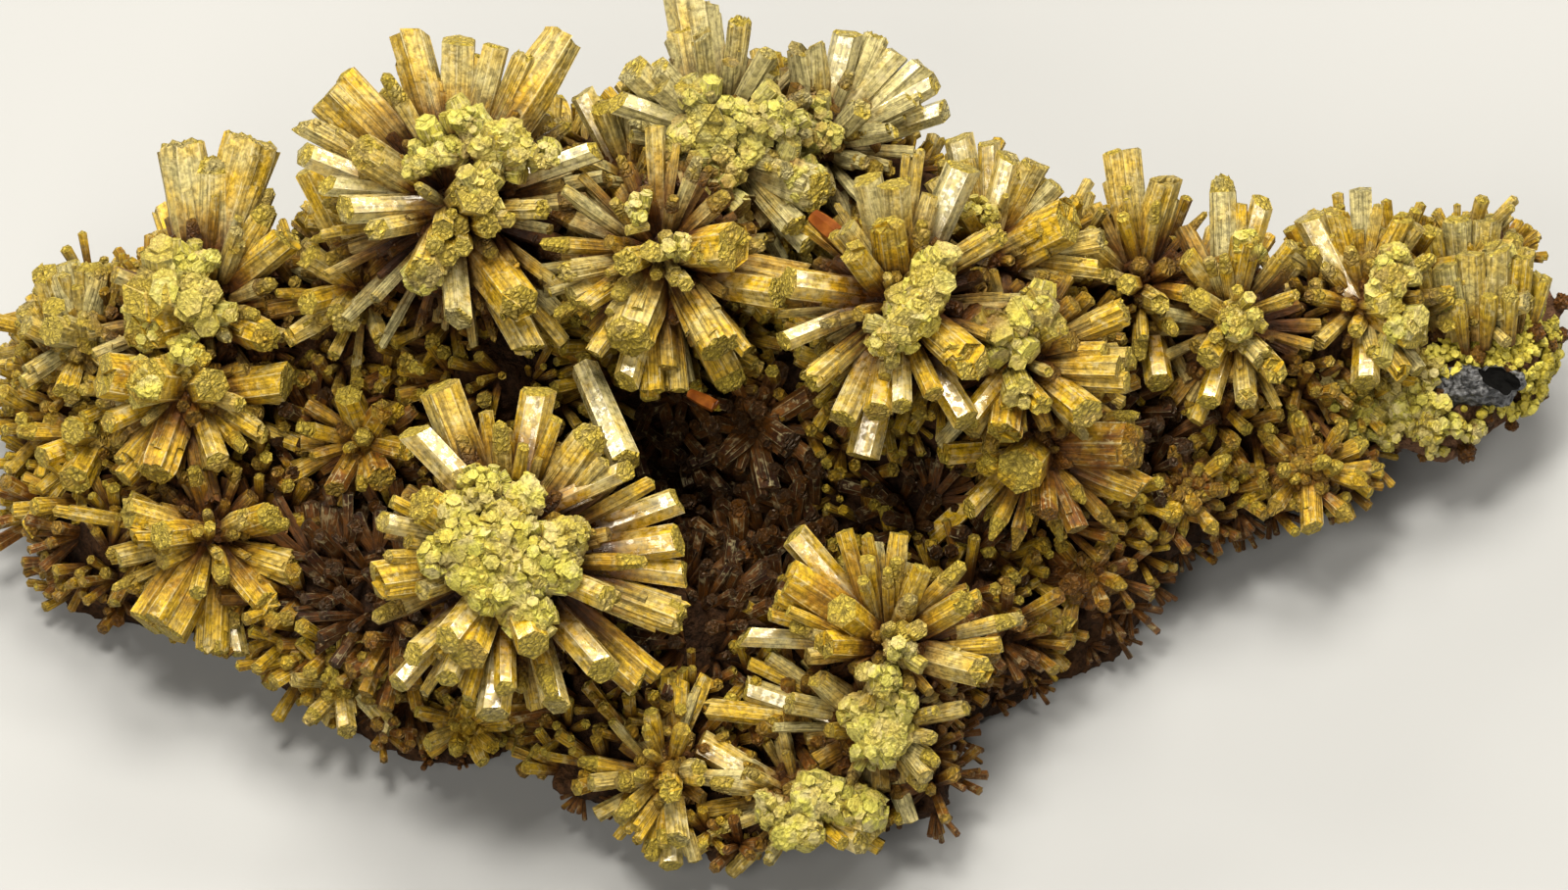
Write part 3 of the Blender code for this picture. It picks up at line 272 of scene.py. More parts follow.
# Green lumps on the sprays, each as (right, up, size) from the heart.
LUMPS = {
    "top_left_spray": (
        (1.7, 1.4, 2.9), (-2.1, -4.8, 2.4), (2.4, 4.8, 3.0), (4.5, 4.1, 2.6), (-0.7, 4.5, 2.6),
        (0.7, 6.5, 2.4), (-2.4, 3.4, 2.2), (6.5, 3.8, 2.0),
    ),
    "top_spray": (
        (0.0, 0.7, 3.2), (-1.4, 3.4, 2.6), (1.7, 2.1, 2.4), (3.8, 2.7, 2.4), (4.5, 1.7, 2.2),
        (0.3, -1.7, 2.4), (-0.7, -3.4, 2.9), (-3.1, -2.1, 2.6), (-4.8, -2.7, 2.0),
        (6.5, -2.7, 3.2), (-2.4, 0.3, 2.2), (2.6, 0.2, 2.2),
    ),
    "top_fan_spray": ((-0.3, 2.7, 2.2), (-1.4, 1.4, 2.2), (0.6, 0.6, 2.0)),
    "upper_middle_spray": ((-1.7, 3.2, 2.0), (1.0, 0.5, 1.8)),
    "right_middle_spray": (
        (0.8, -1.0, 3.2), (1.9, 0.7, 2.6), (2.5, 2.4, 3.0), (-1.2, -2.7, 1.9), (-0.2, -2.4, 2.0),
    ),
    "ridge_spray": ((-0.7, 3.4, 2.0),),
    "right_spray": ((-1.7, 2.1, 3.0), (1.4, 3.4, 3.2), (-0.3, 1.0, 2.4), (-2.4, 0.7, 2.0)),
    "arm_spray": ((0.2, 0.3, 2.4), (0.9, 5.5, 2.0)),
    "arm_outer_spray": ((2.1, 2.7, 2.6), (3.1, -1.7, 2.6), (1.4, 0.7, 2.2)),
    "arm_end_spray": ((1.3, 4.0, 1.8), (-2.4, 1.6, 2.2), (-3.9, 3.0, 2.0), (-4.2, 1.2, 1.8)),
    "left_upper_spray": (
        (-3.8, 1.0, 3.4), (-0.5, 0.8, 3.1), (-4.1, -1.7, 3.2), (-2.1, 3.1, 2.8), (-0.3, 3.6, 2.2),
    ),
    "left_middle_spray": ((-2.7, 0.5, 3.0), (-0.1, 2.5, 2.0)),
    "central_spray": (
        (-1.4, 0.7, 4.0), (1.4, -1.4, 3.6), (-3.4, 1.7, 3.2), (0.0, 2.7, 3.4), (2.7, 0.7, 3.0),
        (-1.4, -2.1, 3.2), (1.7, -4.1, 3.0), (-2.7, -0.7, 3.0), (-1.7, 5.2, 2.4), (4.5, 1.7, 2.4),
        (3.8, -0.7, 2.4), (-4.8, 0.3, 2.4), (-3.8, 3.1, 2.4),
    ),
    "lower_right_spray": ((-0.3, -2.1, 2.4), (0.7, 0.0, 2.0)),
    "lower_spray": ((-1.0, 1.0, 3.2), (0.7, -0.3, 3.4), (0.0, -1.7, 2.8), (1.4, 1.7, 2.4)),
    "foot_spray": (
        (1.4, 0.1, 3.2), (0.3, -2.3, 2.8), (4.8, -1.2, 3.0), (3.1, -0.5, 2.4), (-1.7, -1.2, 2.0),
    ),
}

# The show face's outline, clockwise from the left end, each point as (right, up).
OUTLINE = (
    (-55.3, 6.8), (-53.3, 8.9), (-52.8, 12.3), (-47.8, 12.3), (-44.5, 13.6), (-44.5, 21.2),
    (-41.0, 21.3), (-36.0, 21.4), (-34.0, 20.0), (-34.2, 23.5), (-32.0, 26.8), (-28.5, 25.0),
    (-27.5, 28.6), (-23.5, 28.9), (-19.7, 28.2), (-17.0, 29.0), (-14.2, 28.8), (-14.0, 24.8),
    (-12.8, 23.9), (-10.3, 26.7), (-8.3, 27.6), (-8.1, 31.5), (-4.5, 31.5), (-2.0, 28.5),
    (1.5, 28.0), (3.4, 29.7), (6.6, 29.6), (8.2, 27.5), (10.3, 26.6), (11.6, 22.6),
    (15.0, 21.6), (18.2, 20.1), (22.3, 18.6), (22.8, 21.2), (25.4, 21.2), (26.2, 18.7),
    (29.0, 16.3), (30.6, 19.0), (34.4, 17.6), (39.6, 17.2), (41.7, 18.5), (45.7, 14.8),
    (47.6, 16.2), (50.0, 16.6), (53.2, 13.2), (53.2, 10.2), (55.1, 8.2), (55.1, 3.8),
    (48.2, 0.3), (42.8, -1.5), (40.3, -5.4), (36.2, -6.5), (31.8, -4.4), (30.8, -7.0),
    (26.6, -7.5), (24.2, -10.2), (20.1, -13.6), (13.9, -16.8), (12.8, -18.5), (11.0, -21.0),
    (10.9, -24.0), (9.7, -26.7), (7.0, -28.5), (2.8, -28.7), (-3.8, -30.2), (-5.8, -31.4),
    (-8.4, -31.4), (-11.8, -29.9), (-13.4, -27.0), (-16.6, -24.3), (-19.4, -23.3), (-25.6, -23.3),
    (-27.6, -21.2), (-34.7, -19.7), (-36.6, -18.1), (-38.3, -15.2), (-43.5, -13.7),
    (-50.3, -11.4), (-53.4, -10.2), (-54.3, -6.1), (-55.2, 3.0),
)

# Loose crystals: root and tip as (right, up, out), width, tone, and whether it mirrors the light.
LOOSE = (
    # The first one is painted pale, at tone 1, as a highlight where the sprays above hide its
    # mirrored softbox.
    ((-13.8, 5.2, 2.5), (-11.0, -1.2, 8.5), 2.3, 1.0, True),
    ((-12.6, 3.6, 2.0), (-12.4, -0.6, 6.5), 1.5, 0.4, False),
    ((-15.4, -23.4, -5.0), (-17.6, -19.0, -3.5), 0.9, 0.05, False),
    ((-15.4, -23.4, -5.0), (-15.6, -18.6, -2.5), 1.0, 0.1, False),
    ((-15.2, -23.4, -5.0), (-13.8, -19.2, -2.5), 0.9, 0.0, False),
    ((-15.3, -23.4, -5.0), (-18.4, -21.0, -3.0), 0.8, 0.1, False),
    ((-15.2, -23.4, -5.0), (-12.6, -21.2, -2.5), 0.9, 0.1, False),
)

# Small orange crystals: place as (right, up, out), direction likewise, and width.
ORANGE = (
    ((2.0, 16.0, 5.2), (1.1, -0.9, 0.5), 1.5),
    ((-6.6, 3.6, 4.5), (1.0, -0.5, 0.6), 1.0),
)
ORANGE_LENGTH = 2.2
ORANGE_TWIST = 0.3

# The hollow dark rock near the right-hand tip: its place, size and lean, and its hollow's radii,
# shift from the rock's middle, and turn.
HOLLOW_PLACE = (49.4, 4.2)
HOLLOW_SIZE = (6.8, 3.0, 4.4)
HOLLOW_LEAN = 0.15
HOLLOW_BITE = (2.4, 1.15, 1.9)
HOLLOW_SHIFT = (1.7, 0.75, 2.2)
HOLLOW_TURN = math.radians(-38)

# The relief of the dark rock: kind, size and height, coarse to fine.
HOLLOW_RELIEF = (
    ("Breaks", "VORONOI", 2.2 * MM, -0.9 * MM),
    ("Facets", "VORONOI", 0.8 * MM, -0.5 * MM),
    ("Grit", "CLOUDS", 0.3 * MM, 0.2 * MM),
)

# The yellow grains round it: an ellipse that they cover, one that they keep clear of, how far
# apart they are, and their widths. An ellipse has its middle's right and up, and two reaches.
GRAIN_FIELD = (51.0, 6.4, 5.5, 4.4)
GRAIN_CLEARING = (*HOLLOW_PLACE, 2.5, 1.25)
GRAIN_SPACING = 0.42
GRAIN_WIDTHS = (0.42, 0.92)

# A height above the show face from which the rock below is sought.
FAR_ABOVE = 60.0

# Olive masses on the rock near the right-hand tip: right, up and size.
TIP_LUMPS = (
    (38.6, 4.4, 2.0), (39.6, 3.2, 2.2), (41.2, 2.9, 2.4), (42.8, 3.8, 2.2), (44.3, 2.4, 2.4),
    (43.2, 1.2, 2.0), (45.6, 3.6, 1.8), (45.8, 1.5, 2.0), (47.3, 1.5, 1.8), (46.0, 5.2, 1.8),
    (44.8, 6.4, 2.0), (48.9, 1.3, 1.5), (41.0, 5.2, 2.0), (43.2, 5.4, 1.8), (44.2, 8.2, 2.0),
    (40.8, 1.0, 1.8), (42.4, 0.0, 1.7), (45.2, 2.8, 1.7), (46.6, 2.7, 1.5), (46.2, 0.4, 1.5),
)
TIP_LUMP_TONE = 0.4

# Where the right-hand tip has knobs in place of the crust's small sprays, as ellipses.
TIP_ZONES = ((51.0, 6.0, 6.5, 5.4), (48.5, 1.2, 8.0, 3.4), (55.0, 10.0, 3.4, 5.4))

# Recesses of the show face, where the crust is painted dark as shade: right, up and radius.
RECESSES = (
    (-4.0, -5.0, 7.5), (-8.0, 0.5, 4.5), (-31.0, -1.5, 4.5), (-30.0, -9.5, 4.5), (12.0, -4.0, 4.5),
    (-6.0, -13.5, 4.0), (26.0, 1.5, 3.5),
)

# Sprays on the back: how far right and how high each heart is, its radius, how far its stout
# crystals reach, and their width.
BackSpray = namedtuple("BackSpray", "name right height radius reach width")

BACK_SPRAYS = (
    BackSpray("back_left_spray", -43.0, 11.5, 2.2, 7.0, 1.8),
    BackSpray("back_shoulder_spray", -29.0, 17.5, 2.3, 8.0, 2.0),
    BackSpray("back_top_left_spray", -15.0, 20.5, 2.4, 7.6, 2.1),
    BackSpray("back_top_spray", -1.5, 18.0, 2.3, 7.6, 1.9),
    BackSpray("back_right_spray", 13.0, 15.5, 2.2, 7.2, 1.8),
)

# How many stout crystals such a spray has, the direction in which it grows, how far it spreads
# from that, and how far its heart is out of the rock, as a share of its radius. Then come how
# green its heart is, its usual tone, and the tones of its stout crystals.
BACK_COUNT = 12
BACK_POLE = Vector((0.0, 0.8, 0.6))
BACK_SPREAD = math.radians(72)
BACK_SEAT = 0.45
BACK_GREEN = 0.2
BACK_TONE = 0.4
BACK_TONES = (0.35, 0.7)

# A distance behind the specimen, from which the rock of its back is sought.
FAR_BEHIND = 100.0

# Turning by this angle from each crystal to the next spreads them evenly.
GOLDEN_ANGLE = math.radians(137.5)

# A spray's tips lie on a dome, whose height is this share of the spray's reach.
DOME = 0.72

# How deep below the domes the painted shade on the crystals is darkest.
PAINTED_SHADE_DEPTH = 6.5 * MM

# The flat sides of a crystal.
SIDES = 6

# Softboxes: name, place from the middle of the show face, size, and share of the key's power.
SOFTBOXES = (
    ("overhead", (0.06, 0.20, 0.52), 0.25, 0.70),
    ("overhead_front", (-0.08, -0.06, 0.58), 0.14, 0.60),
    ("left_back", (-0.38, 0.26, 0.36), 0.19, 0.38),
    ("right_high", (0.40, 0.06, 0.42), 0.14, 0.28),
    ("front", (-0.20, -0.60, 0.50), 0.34, 0.78),
)
LIGHT_COLOUR = (1.0, 0.92, 0.79)
ROOM_COLOUR = (1.0, 0.92, 0.80)
ROOM_STRENGTH = 0.02
FLOOR_SIZE = 6.0
NEAREST_SEEN = 0.01

# Listed widths are across a crystal's flats, and its corners stand out by this factor.
FLAT_ALLOWANCE = 1.14

# Listed crystals wider than this, in millimetres, have a stout shape.
LEAST_STOUT = 1.3

# How far a listed crystal's root may be from its spray's heart, along each axis.
ROOT_SHAKE = 0.5 * MM

# Some listed crystals are turned so that a flat side mirrors a softbox to the viewer: how strong
# the softbox has to be, the share of the fit ones that are turned, the spray where all of them
# are, which stout shapes they have, and their widths in millimetres, most tilt and least tone.
GLINT_SHARE = 0.27
GLINT_CHANCE = 0.4
BRIGHT_SPRAY = "central_spray"
GLINT_SHAPES = (5, 8, 10)
GLINT_WIDTHS = (1.25, 2.25)
MOST_GLINT_TILT = 0.28
LEAST_GLINT_TONE = 0.2

# The usual tone of the crystals: it rises by TONE_RISE between two heights on the show face, and
# a listed crystal's tone is up to TONE_SHAKE from it.
LOW_TONE = 0.42
TONE_RISE = 0.36
TONE_HEIGHTS = (-2.0, 20.0)
TONE_SHAKE = 0.18

# The thin crystals between the stout ones: their widths and lengths as shares of the usual, how
# near a stout one they stand, as a share of touching, and how their tone varies.
FILLER_WIDTHS = (0.6, 1.35)
FILLER_LENGTHS = (0.5, 0.92)
FILLER_ROOM = 0.75
FILLER_TONE = 0.3
PALE_LENGTH = 0.85

# The stubby crystals over a heart: how many for a radius of a millimetre and how that grows with
# the radius, their widths in millimetres, and their reach and root as shares of the radius.
HEART_COUNT = 26
HEART_POWER = 1.3
HEART_WIDTHS = (0.8, 1.5)
HEART_REACHES = (0.95, 1.35)
HEART_ROOT = 0.9

# A crystal whose tip is this near to its spray's heart is green, in radii of the heart.
GREEN_REACH = 1.15

# The green lumps: how high they are under the dome, what grows on each of them for a millimetre
# of its size, and the sprays whose lumps are granular, without broken crystals.
LUMP_HEIGHT = 0.86
ROSETTES_PER_MM = 3.0
SHARDS_PER_MM = 2.2
GRANULAR_SPRAYS = ("central_spray", "lower_spray", "foot_spray")

# The crust's three pieces meet at these places along the specimen.
CRUST_BORDERS = (-0.018, 0.016)

# The crust's small sprays on open rock and past the outline, and the knobs on the right-hand tip:
# their length as a share of the usual, and how many millimetres their roots are in the rock.
OPEN_CRUST = (1.0, 0.9)
EDGE_CRUST = (0.55, 0.4)
TIP_CRUST = (0.24, 0.1)
CRUST_LENGTHS = (0.65, 1.25)
CRUST_LEAN = 0.35
HEART_CLEARANCE = 0.2 * MM

# Rock that faces down more than this has no crust, nor has rock this near to the floor. Below a
# height of LOW_ROCK, the crust is short where the rock leans out.
CRUST_END = -0.9
CRUST_CLEARANCE = 0.8 * MM
LOW_ROCK = 5 * MM

# Tones of the crust in the recesses (painted shade), past the outline, and elsewhere against the
# usual tone.
RECESS_SHADE_TONES = (-0.8, -0.4)
EDGE_TONES = (-0.35, 0.0)
CRUST_TONES = (-0.40, 0.06)

# The crust darkens by HEM_SHADE at the lower edge, which starts at this height on the show face
# and is fully dark lower by HEM_DEPTH.
HEM_SHADE = 0.10
HEM_TOP = -8.0
HEM_DEPTH = 6.0

# The rock's relief: kind, size and height.
ROCK_RELIEF = (
    ("Lumps", "CLOUDS", 6.0 * MM, 1.1 * MM),
    ("Grit", "CLOUDS", 1.2 * MM, 0.6 * MM),
)
DOUBLES = 1e-6

# Crystal shapes are modelled one unit wide and one unit long, with their root at the origin.
# Faces that look along the crystal by more than END_TILT are its end, and by TOP_TILT its top.
# A broken end has BROKEN_STEPS steps, and lumps are modelled LUMP_STEP units apart.
END_SLOT = 1
MIRROR_SLOT = 2
END_TILT = 0.35
TOP_TILT = 0.9
STOUT_SIDES = 24
BROKEN_STEPS = 2
LUMP_THINNING = 0.10
LUMP_STEP = 7
CRISP_SHAPES = 9
NARROW_TUFTS = 2
SKIN = "skin"

Shape = namedtuple("Shape", "points corners starts slots layout along")
Growth = namedtuple("Growth", "shape place tone green glint")


# ---------------------------------------------------------------- settings

class CrystalSettings(bpy.types.PropertyGroup):
    side_colour: FloatVectorProperty(
        name="Side", description="Colour of an ordinary crystal's sides",
        subtype="COLOR", size=3, min=0, max=1, default=(0.485, 0.312, 0.014))
    # The root colour is partly the real stain at the crystals' roots and partly painted shade deep
    # in the sprays and in the recesses.
    root_stain_and_shade_colour: FloatVectorProperty(
        name="Root", description="Colour of the sides deep in a spray",
        subtype="COLOR", size=3, min=0, max=1, default=(0.026, 0.0060, 0.0008))
    # The brown colour is that of the brownest crystals, and also the first step of the painted
    # shade deep in a spray.
    umber_colour: FloatVectorProperty(
        name="Brown side", description="Colour of the brownest crystals' sides",
        subtype="COLOR", size=3, min=0, max=1, default=(0.165, 0.060, 0.005))
    pale_colour: FloatVectorProperty(
        name="Pale side", description="Colour of the palest crystals' sides",
        subtype="COLOR", size=3, min=0, max=1, default=(0.41, 0.363, 0.160))
    # This colour is that of real pale chips and of the painted highlight along the crystals' edges.
    chip_and_edge_highlight_colour: FloatVectorProperty(
        name="Worn", description="Colour of the chips and of the worn edges",
        subtype="COLOR", size=3, min=0, max=1, default=(0.52, 0.458, 0.245))
    end_colour: FloatVectorProperty(
        name="End", description="Colour of the rough ends",
        subtype="COLOR", size=3, min=0, max=1, default=(0.485, 0.372, 0.048))
    green_colour: FloatVectorProperty(
        name="Green", description="Colour of the green growths at the hearts",
        subtype="COLOR", size=3, min=0, max=1, default=(0.42, 0.395, 0.065))
    filler_density: FloatProperty(
        name="Filler density", description="Thin crystals per square millimetre of a spray's reach",
        min=0, max=4, default=0.9)
    filler_width: FloatProperty(
        name="Filler width", description="Width of a thin crystal",
        subtype="DISTANCE", unit="LENGTH", min=0.0002, max=0.004, default=0.00130)


class CrustSettings(bpy.types.PropertyGroup):
    spacing: FloatProperty(
        name="Spacing", description="Least distance between the small sprays of the crust",
        subtype="DISTANCE", unit="LENGTH", min=0.001, max=0.02, default=0.0021)
    reach: FloatProperty(
        name="Reach", description="How far the crust's small crystals reach",
        subtype="DISTANCE", unit="LENGTH", min=0.001, max=0.01, default=0.0050)
    lowest_tilt: FloatProperty(
        name="Lowest tilt", description="How far down low rock may face before its crust is short",
        min=-1, max=1, default=-0.45)


class RockSettings(bpy.types.PropertyGroup):
    rock_colour: FloatVectorProperty(
        name="Rock", description="Colour of the rock", subtype="COLOR", size=3,
        min=0, max=1, default=(0.024, 0.011, 0.005))
    rust_colour: FloatVectorProperty(
        name="Rust", description="Colour of the rusty patches", subtype="COLOR", size=3,
        min=0, max=1, default=(0.065, 0.030, 0.012))
    tip_colour: FloatVectorProperty(
        name="Tip", description="Colour of the bare rock at the right-hand tip", subtype="COLOR",
        size=3, min=0, max=1, default=(0.135, 0.070, 0.038))
    grain: FloatProperty(
        name="Grain", description="Size of the rock's finest modelled relief",
        subtype="DISTANCE", unit="LENGTH", min=0.0002, max=0.004, default=0.0005)


class StageSettings(bpy.types.PropertyGroup):
    floor_colour: FloatVectorProperty(
        name="Floor", description="Colour of the floor", subtype="COLOR", size=3,
        min=0, max=1, default=(0.29, 0.305, 0.325))
    key_power: FloatProperty(
        name="Key", description="Power of which every softbox has its share",
        unit="POWER", min=0, default=5.4)
    camera_distance: FloatProperty(
        name="Camera distance", description="How far the camera stands from the show face",
        subtype="DISTANCE", unit="LENGTH", min=0.2, max=5, default=1.0)


# ---------------------------------------------------------------- places

def show_face(right, up, out):
    """The world point, in metres, of a place on the show face."""
    rise = math.sin(SHOW_FACE_RISE)
    lean = math.cos(SHOW_FACE_RISE)
    along_x = right + SHOW_FACE_SHIFT[0]
    along_y = up * rise - out * lean + SHOW_FACE_SHIFT[1]
    along_z = up * lean + out * rise + SHOW_FACE_HEIGHT
    return Vector((along_x, along_y, along_z)) * MM


def show_direction(right, up, out):
    """The world direction of a direction on the show face, with its length kept."""
    return show_face(right, up, out) - show_face(0, 0, 0)


def to_viewer():
    """The direction straight out of the show face."""
    return show_direction(0, 0, 1).normalized()


def face_axes(lean=0.0):
    """The matrix of the show face's own directions, leaned over in its plane."""
    return Matrix((
        show_direction(1, lean, 0).normalized(),
        show_direction(-lean, 1, 0).normalized(),
        to_viewer(),
    )).transposed()


def on_show_face(point):
    """A world point's (right, up) on the show face as the camera sees it, in millimetres."""
    away = (point - show_face(0, 0, 0)) / MM
    right, up, out = (
        away.dot(show_direction(*axis)) / MM for axis in ((1, 0, 0), (0, 1, 0), (0, 0, 1))
    )
    nearer = 1 - out * MM / bpy.context.scene.specimen_stage.camera_distance
    return right / nearer, up / nearer


def in_outline(point):
    """Whether a world point is seen inside the show face's outline."""
    right, up = on_show_face(point)
    inside = False
    for (x0, y0), (x1, y1) in zip(OUTLINE, OUTLINE[1:] + OUTLINE[:1]):
        if (y0 > up) != (y1 > up) and right < x0 + (up - y0) * (x1 - x0) / (y1 - y0):
            inside = not inside
    return inside


def from_middle(right, up, ellipse):
    """How far a place is from an ellipse's middle, where 1 is on the ellipse itself."""
    x, y, reach_x, reach_y = ellipse
    return math.hypot((right - x) / reach_x, (up - y) / reach_y)


def on_ring(radius, bearing):
    """The place at this distance from the axis and in this direction from it."""
    return radius * math.cos(bearing), radius * math.sin(bearing)


def random_shift(dice, reach):
    """A random shift, up to this reach along each axis."""
    return Vector([dice.uniform(-reach, reach) for _ in range(3)])


# ---------------------------------------------------------------- modelling

def deselect_all():
    bpy.ops.object.select_all(action="DESELECT")


def choose(*objects):
    """Selects these objects alone and makes the first one active."""
    deselect_all()
    for obj in objects:
        obj.select_set(True)
    bpy.context.view_layer.objects.active = objects[0]


@contextmanager
def editing(obj):
    """Edit mode on one object, with nothing of its mesh selected at first."""
    choose(obj)
    bpy.ops.object.mode_set(mode="EDIT")
    bpy.ops.mesh.select_all(action="DESELECT")
    yield
    bpy.ops.object.mode_set(mode="OBJECT")


@contextmanager
def picking(mode):
    """The edited mesh, while its faces, edges or points are selected in code."""
    bpy.ops.mesh.select_mode(type=mode)
    mesh = bpy.context.object.data
    yield bmesh.from_edit_mesh(mesh)
    bmesh.update_edit_mesh(mesh)


def pick_faces(wanted):
    """Selects the edited mesh's faces that answer the test."""
    with picking("FACE") as form:
        for face in form.faces:
            face.select_set(wanted(face))


def pick_edges(wanted):
    """Selects the edited mesh's edges whose two ends answer the test."""
    with picking("EDGE") as form:
        for edge in form.edges:
            edge.select_set(wanted(edge.verts[0].co, edge.verts[1].co))


def pick_points(wanted):
    """Selects the edited mesh's points that answer the test."""
    with picking("VERT") as form:
        for point in form.verts:
            point.select_set(wanted(point.co))
        form.select_flush_mode()


def apply_place():
    """Puts the selected object's place, turn and size into its mesh."""
    bpy.ops.object.transform_apply(location=True, rotation=True, scale=True)


def apply_modifiers(obj):
    choose(obj)
    for modifier in list(obj.modifiers):
        bpy.ops.object.modifier_apply(modifier=modifier.name)


def delete(obj):
    choose(obj)
    bpy.ops.object.delete()


def add_relief(obj, name, kind, size, height, middle=0.55):
    """Adds a displacement by a procedural texture of this feature size and height."""
    texture = bpy.data.textures.new(name, kind)
    texture.noise_scale = size
    relief = obj.modifiers.new(name, "DISPLACE")
    relief.texture = texture
    relief.texture_coords = "LOCAL"
    relief.strength = height
    relief.mid_level = middle


def settle(obj, slot, *nodes):
    """Puts a finished piece on the specimen, where it stands for these nodes, which are hidden."""
    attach(obj, "root")
    if nodes:
        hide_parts(*nodes)


# ---------------------------------------------------------------- meshes of many crystals

def read_values(items, name, width=1, kind=np.float64):
    """A value of each point, corner or face of a mesh, as an array."""
    values = np.empty(len(items) * width, kind)
    items.foreach_get(name, values)
    return values.reshape(-1, width) if width > 1 else values


def read_shape(obj):
    """The arrays of a modelled crystal shape, whose object is then deleted."""
    mesh = obj.data
    points = read_values(mesh.vertices, "co", 3)
    shape = Shape(
        points=points,
        corners=read_values(mesh.loops, "vertex_index", kind=np.int64),
        starts=read_values(mesh.polygons, "loop_start", kind=np.int64),
        slots=read_values(mesh.polygons, "material_index", kind=np.int64),
        layout=read_values(mesh.uv_layers.active.data, "uv", 2),
        along=np.clip(np.linalg.norm(points, axis=1), 0, 1),
    )
    delete(obj)
    return shape


def painted_exposure(points):
    """Painted shade: 1 on and above the domes of the sprays' tips, falling to 0 deep below them."""
    outward = np.array(to_viewer())
    deepest = np.zeros(len(points))
    for spray in SPRAYS:
        away = points - np.array(show_face(*spray.heart))
        toward = away @ outward
        flat = np.maximum((away**2).sum(axis=1) - toward**2, 0)
        inside = spray.reach * MM - np.sqrt(flat + (toward / DOME)**2)
        deepest = np.maximum(deepest, inside)
    return np.clip(1 - deepest / PAINTED_SHADE_DEPTH, 0, 1)


def clears_floor(growth):
    """Whether all of a placed crystal is above the floor."""
    lift = np.array(growth.place)[2]
    return (growth.shape.points @ lift[:3] + lift[3]).min() > 0


def grow_mesh(name, growths, finishes=None):
    """One mesh object from many placed copies of the crystal shapes."""
    points, corners, starts, slots, layout, skin = [], [], [], [], [], []
    point_count = 0
    corner_count = 0
    for growth in filter(clears_floor, growths):
        shape = growth.shape
        place = np.array(growth.place)
        where = shape.points @ place[:3, :3].T + place[:3, 3]
        points.append(where)
        corners.append(shape.corners + point_count)
        starts.append(shape.starts + corner_count)
        sides = MIRROR_SLOT if growth.glint == 1 else 0
        slots.append(np.where(shape.slots == END_SLOT, END_SLOT, sides))
        layout.append(shape.layout)
        paint = np.empty((len(shape.points), 4))
        # The first part is the root-to-tip share, lowered by the painted shade deep under the
        # sprays' domes.
        paint[:, 0] = np.minimum(shape.along, painted_exposure(where))
        paint[:, 1:] = (growth.tone, growth.green, growth.glint)
        skin.append(paint)
        point_count += len(shape.points)
        corner_count += len(shape.corners)
    mesh = bpy.data.meshes.new(name)
    mesh.vertices.add(point_count)
    mesh.vertices.foreach_set("co", np.concatenate(points).ravel())
    mesh.loops.add(corner_count)
    mesh.loops.foreach_set("vertex_index", np.concatenate(corners))
    all_starts = np.concatenate(starts)
    mesh.polygons.add(len(all_starts))
    mesh.polygons.foreach_set("loop_start", all_starts)
    mesh.polygons.foreach_set("material_index", np.concatenate(slots))
    mesh.uv_layers.new(name="UVMap")
    mesh.uv_layers.active.data.foreach_set("uv", np.concatenate(layout).ravel())
    attribute = mesh.attributes.new(SKIN, "FLOAT_COLOR", "POINT")
    attribute.data.foreach_set("color", np.concatenate(skin).ravel())
    mesh.update(calc_edges=True)
    mesh.validate()
    mesh.shade_flat()
    for finish in finishes or crystal_materials():
        mesh.materials.append(finish)
    obj = bpy.data.objects.new(name, mesh)
    bpy.context.scene.collection.objects.link(obj)
    return obj


# ---------------------------------------------------------------- crystal shapes

def coat(obj):
    """Gives a crystal shape the three finishes of crystals."""
    for finish in crystal_materials():
        obj.data.materials.append(finish)


def add_prism(sides, radius, length, place=(0.0, 0.0), turn=0.0):
    """A prism that stands on the origin's plane."""
    deselect_all()
    bpy.ops.mesh.primitive_cylinder_add(
        vertices=sides, radius=radius, depth=length,
        location=(place[0], place[1], length / 2), rotation=(0, 0, turn))
    prism = bpy.context.object
    apply_place()
    coat(prism)
    return prism


def add_ball(subdivisions, height):
    """A ball one unit across, with its middle at this height on the axis."""
    deselect_all()
    bpy.ops.mesh.primitive_ico_sphere_add(
        subdivisions=subdivisions, radius=0.5, location=(0, 0, height))
    ball = bpy.context.object
    apply_place()
    coat(ball)
    return ball


def cut_rings(count):
    """Cuts the edited prism across into count + 1 equal lengths."""
    pick_edges(lambda a, b: abs(a.z - b.z) > 0.5 * (a - b).length and (a - b).length > 0.1)
    bpy.ops.mesh.subdivide(number_cuts=count)


def scale_level(level, share, middle=(0, 0, 0), shift=0.0):
    """Narrows the edited prism at one level, and moves that level along it."""
    pick_points(lambda place: abs(place.z - level) < 0.004)
    bpy.ops.transform.resize(value=(share, share, 1), center_override=middle)
    if shift:
        bpy.ops.transform.translate(value=(0, 0, shift))


def is_top(face):
    """Whether a face looks straight along its crystal."""
    return face.normal.z > TOP_TILT


def inset_top(thickness, rise):
    """Insets the selected faces, and moves what is inside along the crystal."""
    bpy.ops.mesh.inset(thickness=thickness, depth=0)
    bpy.ops.transform.translate(value=(0, 0, rise))


def roughen(above, offset, seed):
    """Shakes the edited mesh's points above a height."""
    pick_points(lambda place: place.z > above)
    bpy.ops.transform.vertex_random(offset=offset, seed=seed)


def give_end_finish(obj):
    """Gives the selected faces the finish of the rough ends."""
    obj.active_material_index = END_SLOT
    bpy.ops.object.material_slot_assign()


def finish_ends(obj):
    """Gives the faces that look along the crystal the finish of the rough ends."""
    pick_faces(lambda face: face.normal.z > END_TILT)
    give_end_finish(obj)


def bearing_gap(place, bearing):
    """The angle between a place's direction from the axis and this bearing."""
    turn = math.atan2(place.y, place.x) - bearing
    return abs((turn + math.pi) % math.tau - math.pi)


